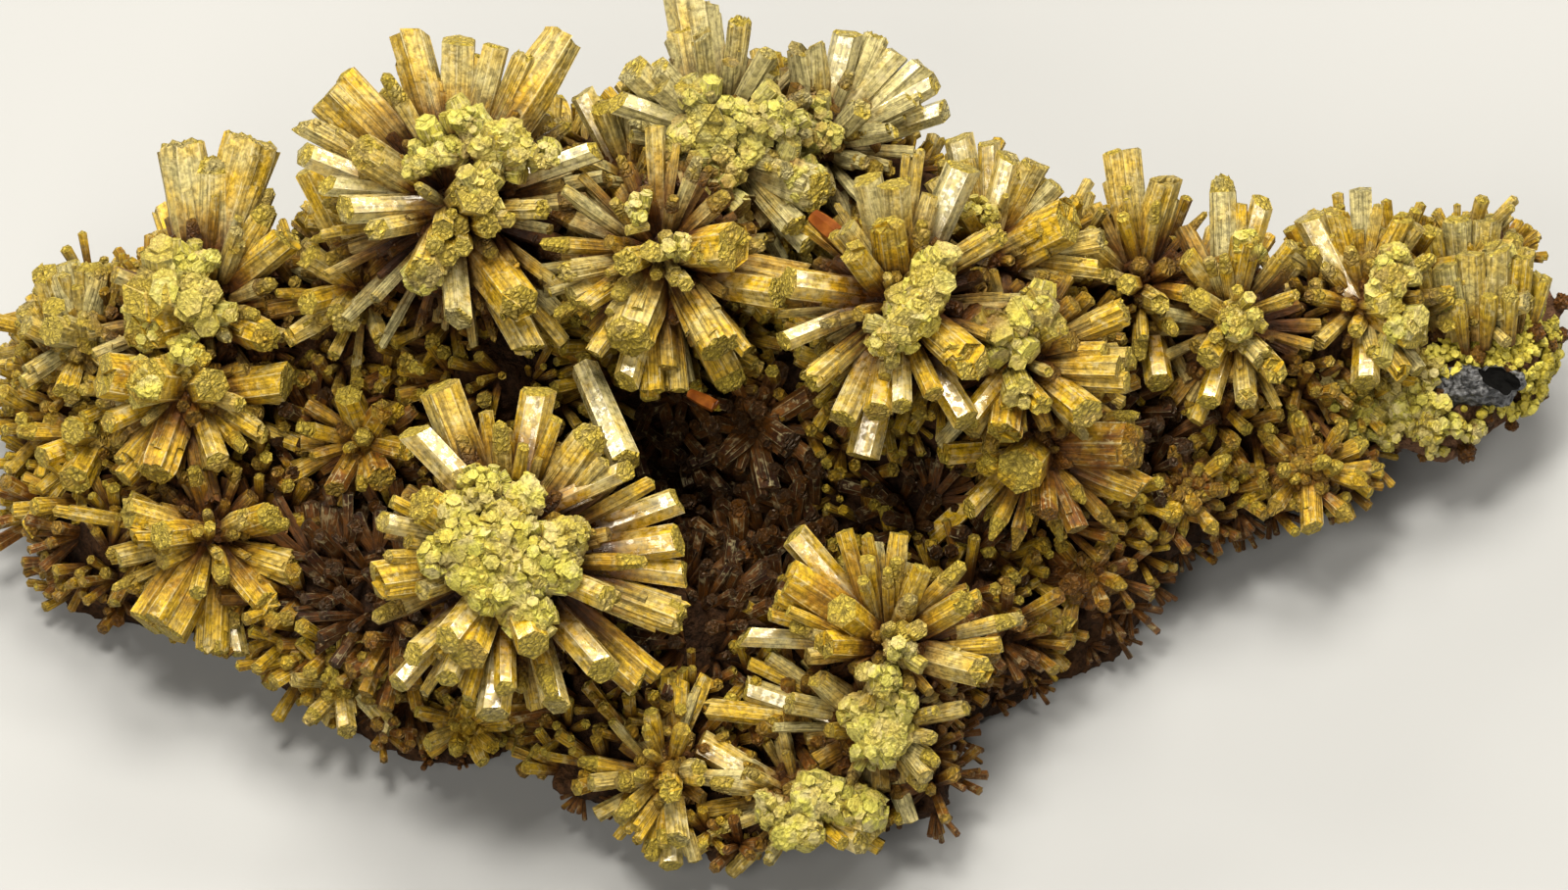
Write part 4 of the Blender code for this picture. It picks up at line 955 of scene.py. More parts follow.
def at_bearing(place, bearing):
    """Whether a point off the axis lies in this direction from it."""
    return math.hypot(place.x, place.y) >= 0.02 and bearing_gap(place, bearing) < 0.05


def looks_to(place, bearing):
    """Whether a place lies within a third of a turn that is centred on this bearing."""
    return bearing_gap(place, bearing) < math.pi / 3


def join(objects):
    choose(*objects)
    bpy.ops.object.join()
    return objects[0]


def flute(groove, dice):
    """Shapes the edited round prism into six flat sides with lengthwise grooves."""
    for line in range(STOUT_SIDES):
        bearing = math.pi / 2 + math.tau * line / STOUT_SIDES
        to_flat = (bearing + math.pi / 2) % (math.pi / 3) - math.pi / 6
        flat = math.cos(math.pi / 6) / math.cos(to_flat)
        share = flat * (1 + groove * dice.uniform(-1, 0.6))
        pick_points(lambda place, bearing=bearing: at_bearing(place, bearing))
        bpy.ops.transform.resize(value=(share, share, 1), center_override=(0, 0, 0))


def stout_shape(seed, profile, groove, dome, ribs):
    """A stout crystal: six grooved sides, a rough end, and thin crystals grown along it."""
    dice = random.Random(seed)
    obj = add_prism(STOUT_SIDES, 0.5, 1.0)
    with editing(obj):
        cut_rings(len(profile) - 2)
        step = 1 / (len(profile) - 1)
        for number, share in enumerate(profile):
            shift = 0.6 * step if number == len(profile) - 2 else 0.0
            scale_level(number * step, share, shift=shift)
        pick_faces(is_top)
        inset_top(0.09, dome)
        inset_top(0.12, dome / 3)
        bpy.ops.mesh.poke(offset=0)
        flute(groove, dice)
        roughen(0.97, 0.04, seed)
        finish_ends(obj)
    parts = [obj]
    for number in range(ribs):
        bearing = math.tau * (number + dice.uniform(-0.3, 0.3)) / ribs
        radius = dice.uniform(0.09, 0.17)
        rib = add_prism(SIDES, radius, dice.uniform(0.72, 0.99),
                        on_ring(0.48 - 0.6 * radius, bearing), dice.uniform(0, 1))
        with editing(rib):
            scale_level(0, profile[0])
            roughen(0.5, 0.02, seed + number)
            finish_ends(rib)
        parts.append(rib)
    return read_shape(join(parts))


def twin_shape(seed, count, radius, ring):
    """Several crystals grown side by side along one axis, crisp and flat-faced."""
    dice = random.Random(seed)
    parts = []
    for number in range(count):
        bearing = math.tau * (number + dice.uniform(-0.2, 0.2)) / count
        length = 1.0 if number == 0 else dice.uniform(0.80, 0.99)
        prism = add_prism(SIDES, radius * dice.uniform(0.8, 1.15), length,
                          on_ring(ring, bearing), dice.uniform(0, 1))
        with editing(prism):
            cut_rings(1)
            scale_level(0, 0.6)
            scale_level(length / 2, 0.95, shift=0.2 * length)
            pick_faces(is_top)
            inset_top(0.05, dice.choice((0.012, -0.015)))
            bpy.ops.mesh.poke(offset=0)
            roughen(0.9 * length, 0.014, seed + number)
            finish_ends(prism)
        parts.append(prism)
    return read_shape(join(parts))


def break_top(middle, dice):
    """Steps parts of the edited crystal's end up or down."""
    for _ in range(BROKEN_STEPS):
        side = math.tau * dice.random()
        pick_faces(lambda face, side=side: is_top(face) and looks_to(
            face.calc_center_median() - Vector((*middle, 0)), side))
        bpy.ops.mesh.extrude_region_move(
            TRANSFORM_OT_translate={"value": (0, 0, dice.choice((-0.04, 0.025, 0.04)))})


def crisp_shape(seed, profile, slant, members, shake=0.008):
    """A stout crystal with six flat sides, broken off at a slant, and thinner ones along it."""
    dice = random.Random(seed)
    parts = []
    for number in range(members + 1):
        radius = dice.uniform(0.16, 0.29) if number else 0.5
        ring = 0.5 - 0.5 * radius if number else 0.0
        bearing = math.pi / 3 * dice.randrange(SIDES) + dice.uniform(-0.35, 0.35)
        length = dice.uniform(0.6, 0.97) if number else 1.0
        middle = on_ring(ring, bearing)
        turn = dice.uniform(-0.25, 0.25) if number else 0.0
        prism = add_prism(SIDES, radius, length, middle, turn)
        with editing(prism):
            cut_rings(len(profile) - 2)
            for level, share in enumerate(profile):
                scale_level(level * length / (len(profile) - 1), share)
            pick_faces(is_top)
            inset_top(0.16 * radius, 0.010)
            bpy.ops.mesh.poke(offset=0)
            if shake:
                break_top(middle, dice)
            roughen(0.98 * length, 0.022, seed + number)
            pick_points(lambda place: place.z > 0.95 * length)
            for axis in "XY":
                bpy.ops.transform.rotate(value=slant * dice.uniform(-1, 1), orient_axis=axis,
                                         center_override=(0, 0, length))
            finish_ends(prism)
            pick_points(lambda place: 0.1 < place.z < 0.9 * length)
            bpy.ops.transform.vertex_random(offset=shake, seed=seed + number)
        parts.append(prism)
    return read_shape(join(parts))


@cache
def stout_shapes():
    """The shapes of the stout crystals. The first CRISP_SHAPES of them are crisp ones."""
    club = (0.50, 0.74, 0.92, 1.0, 0.98, 0.86)
    barrel = (0.55, 0.85, 1.0, 0.98, 0.90, 0.72)
    column = (0.64, 0.80, 0.91, 0.97, 1.0, 0.96)
    flare = (0.45, 0.60, 0.76, 0.90, 1.0, 0.98)
    plain = (0.72, 0.90, 1.0, 0.95)
    spindle = (0.55, 0.93, 1.0, 0.80)
    widening = (0.60, 0.80, 0.95, 1.0)
    straight = (0.88, 0.92, 0.96, 1.0)
    return (
        crisp_shape(11, plain, 0.10, 1),
        crisp_shape(12, spindle, 0.06, 2),
        crisp_shape(13, widening, 0.12, 3),
        crisp_shape(14, plain, 0.08, 2),
        crisp_shape(15, spindle, 0.10, 3),
        crisp_shape(16, straight, 0.05, 0, 0.0),
        crisp_shape(17, widening, 0.10, 1),
        crisp_shape(18, plain, 0.14, 4),
        crisp_shape(19, straight, 0.08, 1, 0.0),
        stout_shape(20, barrel, 0.07, 0.015, 4),
        crisp_shape(21, straight, 0.10, 2, 0.0),
        stout_shape(22, column, 0.09, 0.01, 6),
        stout_shape(23, club, 0.07, 0.012, 3),
        stout_shape(24, flare, 0.09, 0.01, 7),
        twin_shape(25, 3, 0.31, 0.22),
        twin_shape(26, 4, 0.27, 0.26),
        twin_shape(27, 2, 0.34, 0.17),
        twin_shape(28, 5, 0.24, 0.29),
    )


def thin_shape(seed, profile, dome, twins):
    """A thin crystal of a few dozen faces, with narrower ones beside it."""
    dice = random.Random(seed)
    parts = []
    for number in range(twins + 1):
        bearing = math.tau * dice.random()
        ring = 0.26 if number else 0.0
        radius = 0.26 if number else 0.5 - 0.06 * twins
        length = dice.uniform(0.7, 0.94) if number else 1.0
        middle = on_ring(ring, bearing)
        prism = add_prism(SIDES, radius, length, middle, dice.uniform(0, 1))
        with editing(prism):
            cut_rings(1)
            scale_level(0, profile[0])
            scale_level(length / 2, profile[1], (*middle, 0), 0.3 * length)
            scale_level(length, profile[2], (*middle, 0))
            pick_faces(is_top)
            bpy.ops.mesh.poke(offset=dome)
            roughen(0.6, 0.025, seed + number)
            finish_ends(prism)
        parts.append(prism)
    return read_shape(join(parts))


@cache
def thin_shapes():
    """The shapes of the thin crystals that fill a spray."""
    return (
        thin_shape(31, (0.5, 1.0, 0.72), 0.03, 0),
        thin_shape(32, (0.6, 1.0, 0.86), 0.02, 0),
        thin_shape(33, (0.7, 0.95, 0.60), 0.03, 0),
        thin_shape(34, (0.5, 1.0, 0.88), 0.02, 1),
        thin_shape(35, (0.5, 0.95, 0.84), 0.02, 2),
        thin_shape(36, (0.6, 0.92, 0.94), 0.01, 0),
    )


@cache
def needle_shapes():
    """The shapes of the small crystals that narrow to a point."""
    return (
        thin_shape(41, (0.5, 1.0, 0.42), 0.04, 0),
        thin_shape(42, (0.45, 0.95, 0.30), 0.03, 0),
        thin_shape(43, (0.5, 1.0, 0.50), 0.03, 1),
    )


def tuft_shape(seed, count, spread, width):
    """A small spray of thin crystals, one unit tall, that radiates from its root."""
    dice = random.Random(seed)
    members = []
    for number in range(count):
        length = dice.uniform(0.72, 1.0)
        prism = add_prism(SIDES, dice.uniform(*width), length)
        with editing(prism):
            scale_level(0, 0.6)
            scale_level(length, dice.uniform(0.75, 1.0))
            pick_faces(is_top)
            bpy.ops.mesh.poke(offset=0.04)
            finish_ends(prism)
        tilt = spread * math.sqrt((number + 0.3) / count) * dice.uniform(0.85, 1.1)
        around = number * GOLDEN_ANGLE + dice.uniform(-0.3, 0.3)
        turn = Matrix.Rotation(around, 4, "Z") @ Matrix.Rotation(tilt, 4, "Y")
        prism.rotation_euler = turn.to_euler()
        choose(prism)
        apply_place()
        members.append(prism)
    return read_shape(join(members))


@cache
def tuft_shapes():
    """The shapes of the crust's small sprays. The last NARROW_TUFTS of them are narrow."""
    return (
        tuft_shape(51, 7, math.radians(50), (0.07, 0.12)),
        tuft_shape(52, 6, math.radians(44), (0.09, 0.14)),
        tuft_shape(53, 8, math.radians(58), (0.06, 0.10)),
        tuft_shape(54, 6, math.radians(40), (0.08, 0.15)),
        tuft_shape(55, 7, math.radians(54), (0.06, 0.13)),
        tuft_shape(56, 6, math.radians(32), (0.08, 0.13)),
        tuft_shape(57, 5, math.radians(28), (0.09, 0.14)),
    )


@cache
def rosette_shapes():
    """The shapes of the stubby little growths on the green masses."""
    return tuple(tuft_shape(seed, 4, math.radians(75), (0.36, 0.56)) for seed in range(61, 65))


def lump_shape(seed):
    """A sugary mass, about one unit across, that sits on the end of its axis.

    It is moved to its own part of the relief's pattern, and back again after it.
    """
    lump = add_ball(5, 0.5)
    away = Vector((LUMP_STEP * seed, 0, 0))
    with editing(lump):
        bpy.ops.mesh.select_all(action="SELECT")
        bpy.ops.transform.translate(value=away)
    add_relief(lump, "Bulges", "CLOUDS", 0.38, 0.50, 0.5)
    add_relief(lump, "Sugar", "VORONOI", 0.16, -0.12, 0.4)
    thinning = lump.modifiers.new("Thinning", "DECIMATE")
    thinning.ratio = LUMP_THINNING
    apply_modifiers(lump)
    with editing(lump):
        bpy.ops.mesh.select_all(action="SELECT")
        bpy.ops.transform.translate(value=-away)
        give_end_finish(lump)
    return read_shape(lump)


@cache
def lump_shapes():
    """The shapes of the green masses, which are also the crust's knobs."""
    return tuple(lump_shape(seed) for seed in range(1, 6))


def grain_shape(seed):
    """A small rounded grain on the end of its axis."""
    grain = add_ball(2, 0.6)
    with editing(grain):
        bpy.ops.mesh.select_all(action="SELECT")
        bpy.ops.transform.vertex_random(offset=0.09, seed=seed)
    return read_shape(grain)


# ---------------------------------------------------------------- finishes

class Finish:
    """A material in the making, with short ways to add its nodes and link them."""

    def __init__(self, name):
        self.material = bpy.data.materials.new(name)
        self.material.use_nodes = True
        self.nodes = self.material.node_tree.nodes

    def give(self, inputs, values):
        """Links inputs to sockets, or sets them to numbers and colours."""
        for key, value in values.items():
            socket = inputs[key]
            if isinstance(value, bpy.types.NodeSocket):
                self.material.node_tree.links.new(value, socket)
            elif socket.type == "RGBA":
                socket.default_value = (*value, 1)
            else:
                socket.default_value = value

    def add(self, kind, values=None, **settings):
        """A new node with these settings, and with these values of its inputs."""
        node = self.nodes.new(kind)
        for name, setting in settings.items():
            setattr(node, name, setting)
        self.give(node.inputs, values or {})
        return node

    def place(self):
        """The piece's own coordinates."""
        return self.add("ShaderNodeTexCoord").outputs["Object"]

    def skin(self):
        """The first three parts of the crystal attribute: along (lowered by painted shade deep in
        the sprays), tone and green.
        """
        skin = self.add("ShaderNodeAttribute", attribute_name=SKIN)
        return self.add("ShaderNodeSeparateColor", {"Color": skin.outputs["Color"]}).outputs[:3]

    def noise(self, vector, scale, detail=3.0, rough=0.55):
        return self.add("ShaderNodeTexNoise", {
            "Vector": vector, "Scale": scale, "Detail": detail, "Roughness": rough,
        }).outputs["Fac"]

    def remap(self, value, low, high, to_low=0.0, to_high=1.0):
        return self.add("ShaderNodeMapRange", {
            "Value": value, "From Min": low, "From Max": high, "To Min": to_low, "To Max": to_high,
        }).outputs["Result"]

    def combine(self, operation, first, second):
        return self.add("ShaderNodeMath", {0: first, 1: second}, operation=operation).outputs[0]

    def blend(self, factor, first, second, kind="MIX"):
        """A mix of two colours, of which each is a colour or a socket."""
        return self.add("ShaderNodeMix", {0: factor, 6: first, 7: second},
                        data_type="RGBA", blend_type=kind).outputs[2]

    def shade(self, body, value, factor=0.9):
        """A colour that is darkened or lightened by a value."""
        grey = self.add("ShaderNodeCombineColor", {0: value, 1: value, 2: value})
        return self.blend(factor, body, grey.outputs[0], "MULTIPLY")

    def bump(self, height, strength, distance):
        return self.add("ShaderNodeBump", {
            "Height": height, "Strength": strength, "Distance": distance,
        }).outputs[0]

    def finished(self, values):
        """The material, with these values of its shader's inputs."""
        self.give(self.nodes["Principled BSDF"].inputs, values)
        return self.material


def tone_colour(finish, crystals, tone):
    """Almost black below a tone of 0, brown at 0, golden at the middle and pale at 1. Tones below 0
    serve the brown crust and, in the recesses, painted shade.
    """
    body = finish.blend(finish.remap(tone, -0.5, 0.0), crystals.root_stain_and_shade_colour,
                        crystals.umber_colour)
    body = finish.blend(finish.remap(tone, 0.0, 0.42), body, crystals.side_colour)
    return finish.blend(finish.remap(tone, 0.5, 1.0), body, crystals.pale_colour)


def paint_deep_shade(finish, crystals, depth, body):
    """Turns a colour brown, then almost black, the deeper it lies in a spray: painted shade, with
    some real staining towards the roots.
    """
    body = finish.blend(finish.remap(depth, 0.35, 0.85), crystals.umber_colour, body)
    return finish.blend(finish.remap(depth, 0.10, 0.62), crystals.root_stain_and_shade_colour, body)


def side_material(crystals, name, mirrors):
    """Striated, resinous crystal sides: dark at the root (partly real stain, partly painted shade),
    khaki to straw towards the end, with painted highlight along the edges.
    """
    finish = Finish(name)
    along, tone, green = finish.skin()
    layout = finish.add("ShaderNodeUVMap", uv_map="UVMap").outputs["UV"]
    place = finish.place()
    shift = finish.add("ShaderNodeCombineXYZ", {2: finish.combine("MULTIPLY", tone, 37.0)})
    stretch = finish.add("ShaderNodeMapping", {
        "Vector": layout, "Location": shift.outputs[0], "Scale": (26.0, 2.4, 1.0)})
    lines = finish.noise(stretch.outputs[0], 1.0, 4.0, 0.6)
    patches = finish.noise(place, 420.0)
    grain = finish.noise(place, 2300.0, 4.0, 0.65)
    chips = finish.noise(place, 1700.0, 3.0, 0.6)

    mottled = finish.combine("ADD", tone, finish.remap(patches, 0.3, 0.7, -0.24, 0.24))
    body = tone_colour(finish, crystals, mottled)
    body = finish.blend(green, body, crystals.green_colour)
    # The depth value carries the painted shade deep in the sprays, and pale sprays get less of it.
    depth = finish.combine("ADD", along, finish.remap(patches, 0.3, 0.7, -0.1, 0.1))
    depth = finish.combine("ADD", depth, finish.remap(tone, 0.45, 0.95, 0.0, 0.3))
    body = paint_deep_shade(finish, crystals, depth, body)
    body = finish.shade(body, finish.remap(lines, 0.38, 0.54, 0.42, 1.14))
    body = finish.shade(body, finish.remap(grain, 0.38, 0.58, 0.50, 1.16))

    # Pale lines along the corners are painted highlight on the edges; the chips are real pale
    # flecks.
    across = finish.add("ShaderNodeSeparateXYZ", {0: layout}).outputs[0]
    to_edge = finish.combine("PINGPONG", finish.combine("MULTIPLY", across, SIDES), 0.5)
    edge = finish.combine("MULTIPLY", finish.remap(to_edge, 0.02, 0.07, 0.75, 0.0),
                          finish.remap(chips, 0.38, 0.54))
    worn = finish.combine("MAXIMUM", finish.remap(chips, 0.56, 0.66, 0.0, 0.5), edge)
    worn = finish.combine("MULTIPLY", worn, finish.remap(depth, 0.4, 0.9))
    smooth, rough = (0.15, 0.60) if mirrors else (0.48, 0.70)
    relief = finish.combine("ADD", lines, finish.combine("MULTIPLY", grain, 0.6))
    return finish.finished({
        "Base Color": finish.blend(worn, body, crystals.chip_and_edge_highlight_colour),
        "Roughness": finish.remap(chips, 0.44, 0.54, smooth, rough),
        "IOR": 1.9 if mirrors else 1.42,
        "Specular Tint": (1.0, 0.97, 0.90),
        "Normal": finish.bump(relief, 0.2 if mirrors else 1.0, 0.0002),
    })


def end_material(crystals):
    """Rough, pitted crystal ends and green lumps."""
    finish = Finish("pyromorphite_end")
    along, tone, green = finish.skin()
    place = finish.place()
    knobs = finish.noise(place, 2600.0, 4.0, 0.6)
    patches = finish.noise(place, 480.0, 2.0)
    warp = finish.add("ShaderNodeVectorMath", {0: knobs, 1: (0.0006, 0.0006, 0.0006), 2: place},
                      operation="MULTIPLY_ADD")
    cells = finish.add("ShaderNodeTexVoronoi", {"Vector": warp.outputs[0], "Scale": 2300.0},
                       feature="DISTANCE_TO_EDGE")
    gap = cells.outputs["Distance"]

    body = tone_colour(finish, crystals, finish.combine("ADD", tone, 0.1))
    body = finish.blend(finish.remap(patches, 0.36, 0.52), body, crystals.end_colour)
    leaf = finish.blend(finish.remap(patches, 0.44, 0.60), crystals.green_colour,
                        crystals.pale_colour)
    body = finish.blend(green, body, leaf)
    # Painted shade deep in the sprays, as on the sides, with some real staining at the roots.
    body = paint_deep_shade(finish, crystals, along, body)
    # Low tones darken the ends too: the browner crust, and painted shade in the recesses.
    body = finish.blend(finish.remap(tone, -0.1, 0.35), crystals.umber_colour, body)
    cracks = finish.combine("MAXIMUM", finish.remap(gap, 0.0, 0.14, 0.55, 1.0),
                            finish.remap(green, 0.2, 0.6))
    pits = finish.remap(knobs, 0.34, 0.52, 0.45, 1.06)
    shade = finish.combine("MULTIPLY", cracks, pits)
    shade = finish.combine("MULTIPLY", shade, finish.remap(tone, -0.5, 0.0, 0.12, 1.0))
    domes = finish.remap(gap, 0.0, 0.35)
    relief = finish.combine("ADD", domes, finish.combine("MULTIPLY", knobs, 0.5))
    return finish.finished({
        "Base Color": finish.shade(body, shade),
        "Roughness": finish.remap(knobs, 0.35, 0.6, 0.70, 0.36),
        "IOR": 1.45,
        "Specular Tint": (1.0, 0.95, 0.82),
        "Normal": finish.bump(relief, finish.remap(green, 0.2, 0.6, 0.9, 0.45), 0.00035),
    })


@cache
def crystal_materials():
    """The side, end and mirroring side finishes, in the order of their slots."""
    crystals = bpy.context.scene.specimen_crystals
    return (
        side_material(crystals, "pyromorphite_side", False),
        end_material(crystals),
        side_material(crystals, "pyromorphite_mirror", True),
    )


def orange_material():
    """Glossy orange-red crystals."""
    finish = Finish("orange_crystal")
    patches = finish.remap(finish.noise(finish.place(), 900.0), 0.4, 0.6)
    return finish.finished({
        "Base Color": finish.blend(patches, (0.12, 0.030, 0.004), (0.22, 0.068, 0.009)),
        "Roughness": 0.3,
    })


def grain_material():
    """Sulphur-yellow grains."""
    finish = Finish("yellow_grain")
    _, tone, _ = finish.skin()
    body = finish.blend(tone, (0.36, 0.29, 0.018), (0.62, 0.55, 0.085))
    rough = finish.noise(finish.place(), 2600.0, 4.0, 0.6)
    return finish.finished({
        "Base Color": finish.shade(body, finish.remap(rough, 0.36, 0.56, 0.40, 1.08), 0.8),
        "Roughness": 0.55,
        "Normal": finish.bump(rough, 0.9, 0.0003),
    })


def dark_rock_material():
    """Blue-grey to black rock."""
    finish = Finish("dark_rock")
    grit = finish.noise(finish.place(), 2400.0, 4.0)
    return finish.finished({
        "Base Color": finish.blend(finish.remap(grit, 0.44, 0.64),
                                   (0.006, 0.007, 0.009), (0.110, 0.116, 0.128)),
        "Roughness": 0.5,
        "Normal": finish.bump(grit, 0.7, 0.0002),
    })


def hollow_shade_material():
    """Near-black painted shade on the inside of the hollow rock."""
    return Finish("dark_hollow").finished({
        "Base Color": (0.003, 0.003, 0.003), "Roughness": 0.9, "Specular IOR Level": 0.05,
    })


def rock_material(rock):
    """Dark brown, rust-stained rock, which is redder at the right-hand tip."""
    finish = Finish("matrix_rock")
    place = finish.place()
    broad = finish.noise(place, 130.0, 4.0)
    fine = finish.noise(place, 1500.0, 4.0, 0.65)
    right = finish.add("ShaderNodeSeparateXYZ", {0: place}).outputs[0]
    body = finish.blend(finish.remap(broad, 0.42, 0.62), rock.rock_colour, rock.rust_colour)
    body = finish.blend(finish.remap(right, 0.034, 0.046), body, rock.tip_colour)
    return finish.finished({
        "Base Color": finish.shade(body, finish.remap(fine, 0.36, 0.62, 0.30, 1.35)),
        "Roughness": 0.85,
        "Specular IOR Level": 0.15,
        "Normal": finish.bump(fine, 1.0, 0.0008),
    })


def floor_material(stage):
    """A plain, matt floor."""
    return Finish("floor").finished({"Base Color": stage.floor_colour, "Roughness": 0.8})


# ---------------------------------------------------------------- layout of the crystals

@cache
def rock_tree():
    """A search tree of the CAD rock's surface."""
    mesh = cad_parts["matrix"].data
    points = [vertex.co.copy() for vertex in mesh.vertices]
    return BVHTree.FromPolygons(points, [tuple(face.vertices) for face in mesh.polygons])


def in_rock(point, margin=0.0):
    """Whether a point is inside the rock, or nearer to its surface than a margin."""
    nearest, normal, _, _ = rock_tree().find_nearest(point)
    return (point - nearest).dot(normal) < margin


def placed(root, tip, width, twist):
    """The matrix that puts a unit crystal shape at its place, width and length."""
    axis = tip - root
    turn = axis.to_track_quat("Z", "Y").to_matrix().to_4x4() @ Matrix.Rotation(twist, 4, "Z")
    return Matrix.Translation(root) @ turn @ Matrix.Diagonal((width, width, axis.length, 1))


def mirroring(root, tip):
    """How to turn a crystal so that a flat side mirrors a softbox to the viewer.

    Gives the tilt it needs, its root for that tilt, and its twist.
    """
    axis = tip - root
    middle = show_face(0, 0, 0)
    halves = [
        (to_viewer() + (middle + Vector(place) - tip).normalized()).normalized()
        for _, place, _, share in SOFTBOXES if share > GLINT_SHARE
    ]
    best = min(halves, key=lambda half: abs(half.dot(axis)))
    tilt = abs(math.asin(best.dot(axis.normalized())))
    root = root + best * best.dot(axis)
    local = (tip - root).to_track_quat("Z", "Y").inverted() @ best
    return tilt, root, math.atan2(local.y, local.x)


def dome_height(spray, right, up):
    """How far out from its heart a spray's dome of tips is, at a place from the heart."""
    spread = math.hypot(right, up)
    return DOME * math.sqrt(max(spray.reach**2 - spread**2, 0))


def dome_tip(spray, right, up, dice):
    """Where a listed crystal's tip is. Tips lie on a dome over the heart."""
    out = dome_height(spray, right, up) * (1 + 0.04 * dice.uniform(-1, 1))
    return show_face(*spray.heart) + show_direction(right, up, out)


def dome_reach(spray, ray):
    """How far a spray reaches in a direction: less towards the viewer than to its sides."""
    toward = ray.dot(to_viewer())
    flat = math.sqrt(max(1 - toward**2, 0))
    return spray.reach * MM / math.hypot(flat, toward / DOME)


def usual_tone(up):
    """The usual tone at a height on the show face: the upper sprays are paler."""
    low, high = TONE_HEIGHTS
    return LOW_TONE + TONE_RISE * min(max((up - low) / (high - low), 0), 1)


def sphere_rays(count, dice):
    """Directions spread evenly over a sphere on a golden-angle spiral, slightly shaken."""
    rays = []
    for number in range(count):
        level = 1 - 2 * (number + 0.5) / count
        ray = Vector((*on_ring(math.sqrt(1 - level**2), number * GOLDEN_ANGLE), level))
        rays.append((ray + random_shift(dice, 0.12)).normalized())
    return rays


def filler_growths(heart, reach_of, reach, heroes, shapes, tone, dice):
    """Thin crystals where a spray's stout ones leave room, clear of the rock."""
    crystals = bpy.context.scene.specimen_crystals
    growths = []
    for ray in sphere_rays(round(crystals.filler_density * reach**2), dice):
        width = crystals.filler_width * dice.uniform(*FILLER_WIDTHS)
        share = dice.uniform(*FILLER_LENGTHS)
        length = reach_of(ray) * share
        tip = heart + length * ray
        crowded = any(
            ray.angle(axis) < FILLER_ROOM * (half + math.atan(width / 2 / length))
            for axis, half in heroes
        )
        if crowded or in_rock(tip, width / 2) or in_rock((heart + 2 * tip) / 3):
            continue
        if tip.z < width or not in_outline(tip):
            continue
        place = placed(heart, tip, width, dice.uniform(0, math.tau))
        own_tone = tone + (share - PALE_LENGTH) + FILLER_TONE * dice.random()
        growths.append(Growth(dice.choice(shapes), place, own_tone, 0.0, dice.random()))
    return growths


def heart_growths(heart, radius, green, shapes, tone, dice):
    """Stubby crystals crowded over a spray's heart."""
    growths = []
    for ray in sphere_rays(round(HEART_COUNT * radius**HEART_POWER), dice):
        width = dice.uniform(*HEART_WIDTHS) * MM
        tip = heart + ray * (radius * dice.uniform(*HEART_REACHES) * MM)
        if in_rock(tip):
            continue
        lean = random_shift(dice, 0.35)
        root = tip - (ray + lean).normalized() * radius * MM * HEART_ROOT
        place = placed(root, tip, width, dice.uniform(0, math.tau))
        growths.append(Growth(dice.choice(shapes), place, tone + dice.uniform(-0.2, 0.1),
                              green * dice.uniform(0.2, 0.8), dice.random()))
    return growths


def spray_lumps(spray, tone, dice):
    """The green lumps over a spray, a little under the dome of its tips."""
    growths = []
    heart = show_face(*spray.heart)
    for right, up, size in LUMPS.get(spray.name, ()):
        tip = heart + show_direction(right, up, dome_height(spray, right, up) * LUMP_HEIGHT)
        shards = 0 if spray.name in GRANULAR_SPRAYS else round(SHARDS_PER_MM * size)
        growths += lump_growths(tip, (tip - heart).normalized(), size * MM, shards, tone, dice)
    return growths


def lump_growths(tip, axis, size, shards, tone, dice):
    """One green mass: rough lumps, with broken crystals or stubby growths crowded on them."""
    growths = []
    for scale, reach in ((0.8, 0.0), (0.6, 0.4)) if shards else ((1.15, 0.0), (0.8, 0.45)):
        shake = random_shift(dice, reach) * size
        lean = (axis + random_shift(dice, 0.4)).normalized()
        root = tip + shake - lean * size * scale * 0.7
        place = placed(root, root + lean * size * scale * 0.85, size * scale,
                       dice.uniform(0, math.tau))
        growths.append(Growth(dice.choice(lump_shapes()), place, tone, dice.uniform(0.6, 1), 0.2))
    middle = tip - axis * size * 0.25
    for _ in range(shards):
        ray = (axis + random_shift(dice, 0.9)).normalized()
        root = middle - axis * size * 0.3 + random_shift(dice, 0.3) * size
        place = placed(root, root + ray * size * dice.uniform(0.6, 1.0),
                       size * dice.uniform(0.40, 0.70), dice.uniform(0, math.tau))
        growths.append(Growth(dice.choice(stout_shapes()[:CRISP_SHAPES]), place,
                              tone + dice.uniform(0, 0.3), dice.uniform(0.3, 0.9), 0.2))
    for _ in range(round(ROSETTES_PER_MM * size / MM * (0.5 if shards else 1))):
        ray = (axis + random_shift(dice, 1.2)).normalized()
        reach = dice.uniform(0.9, 1.5) * MM * (0.8 if shards else 1)
        root = middle + ray * size * 0.28
        place = placed(root, root + ray * reach, reach, dice.uniform(0, math.tau))
        growths.append(Growth(dice.choice(rosette_shapes()), place, tone + dice.uniform(-0.1, 0.3),
                              dice.uniform(0.45, 1), dice.random() * 0.8))
    return growths


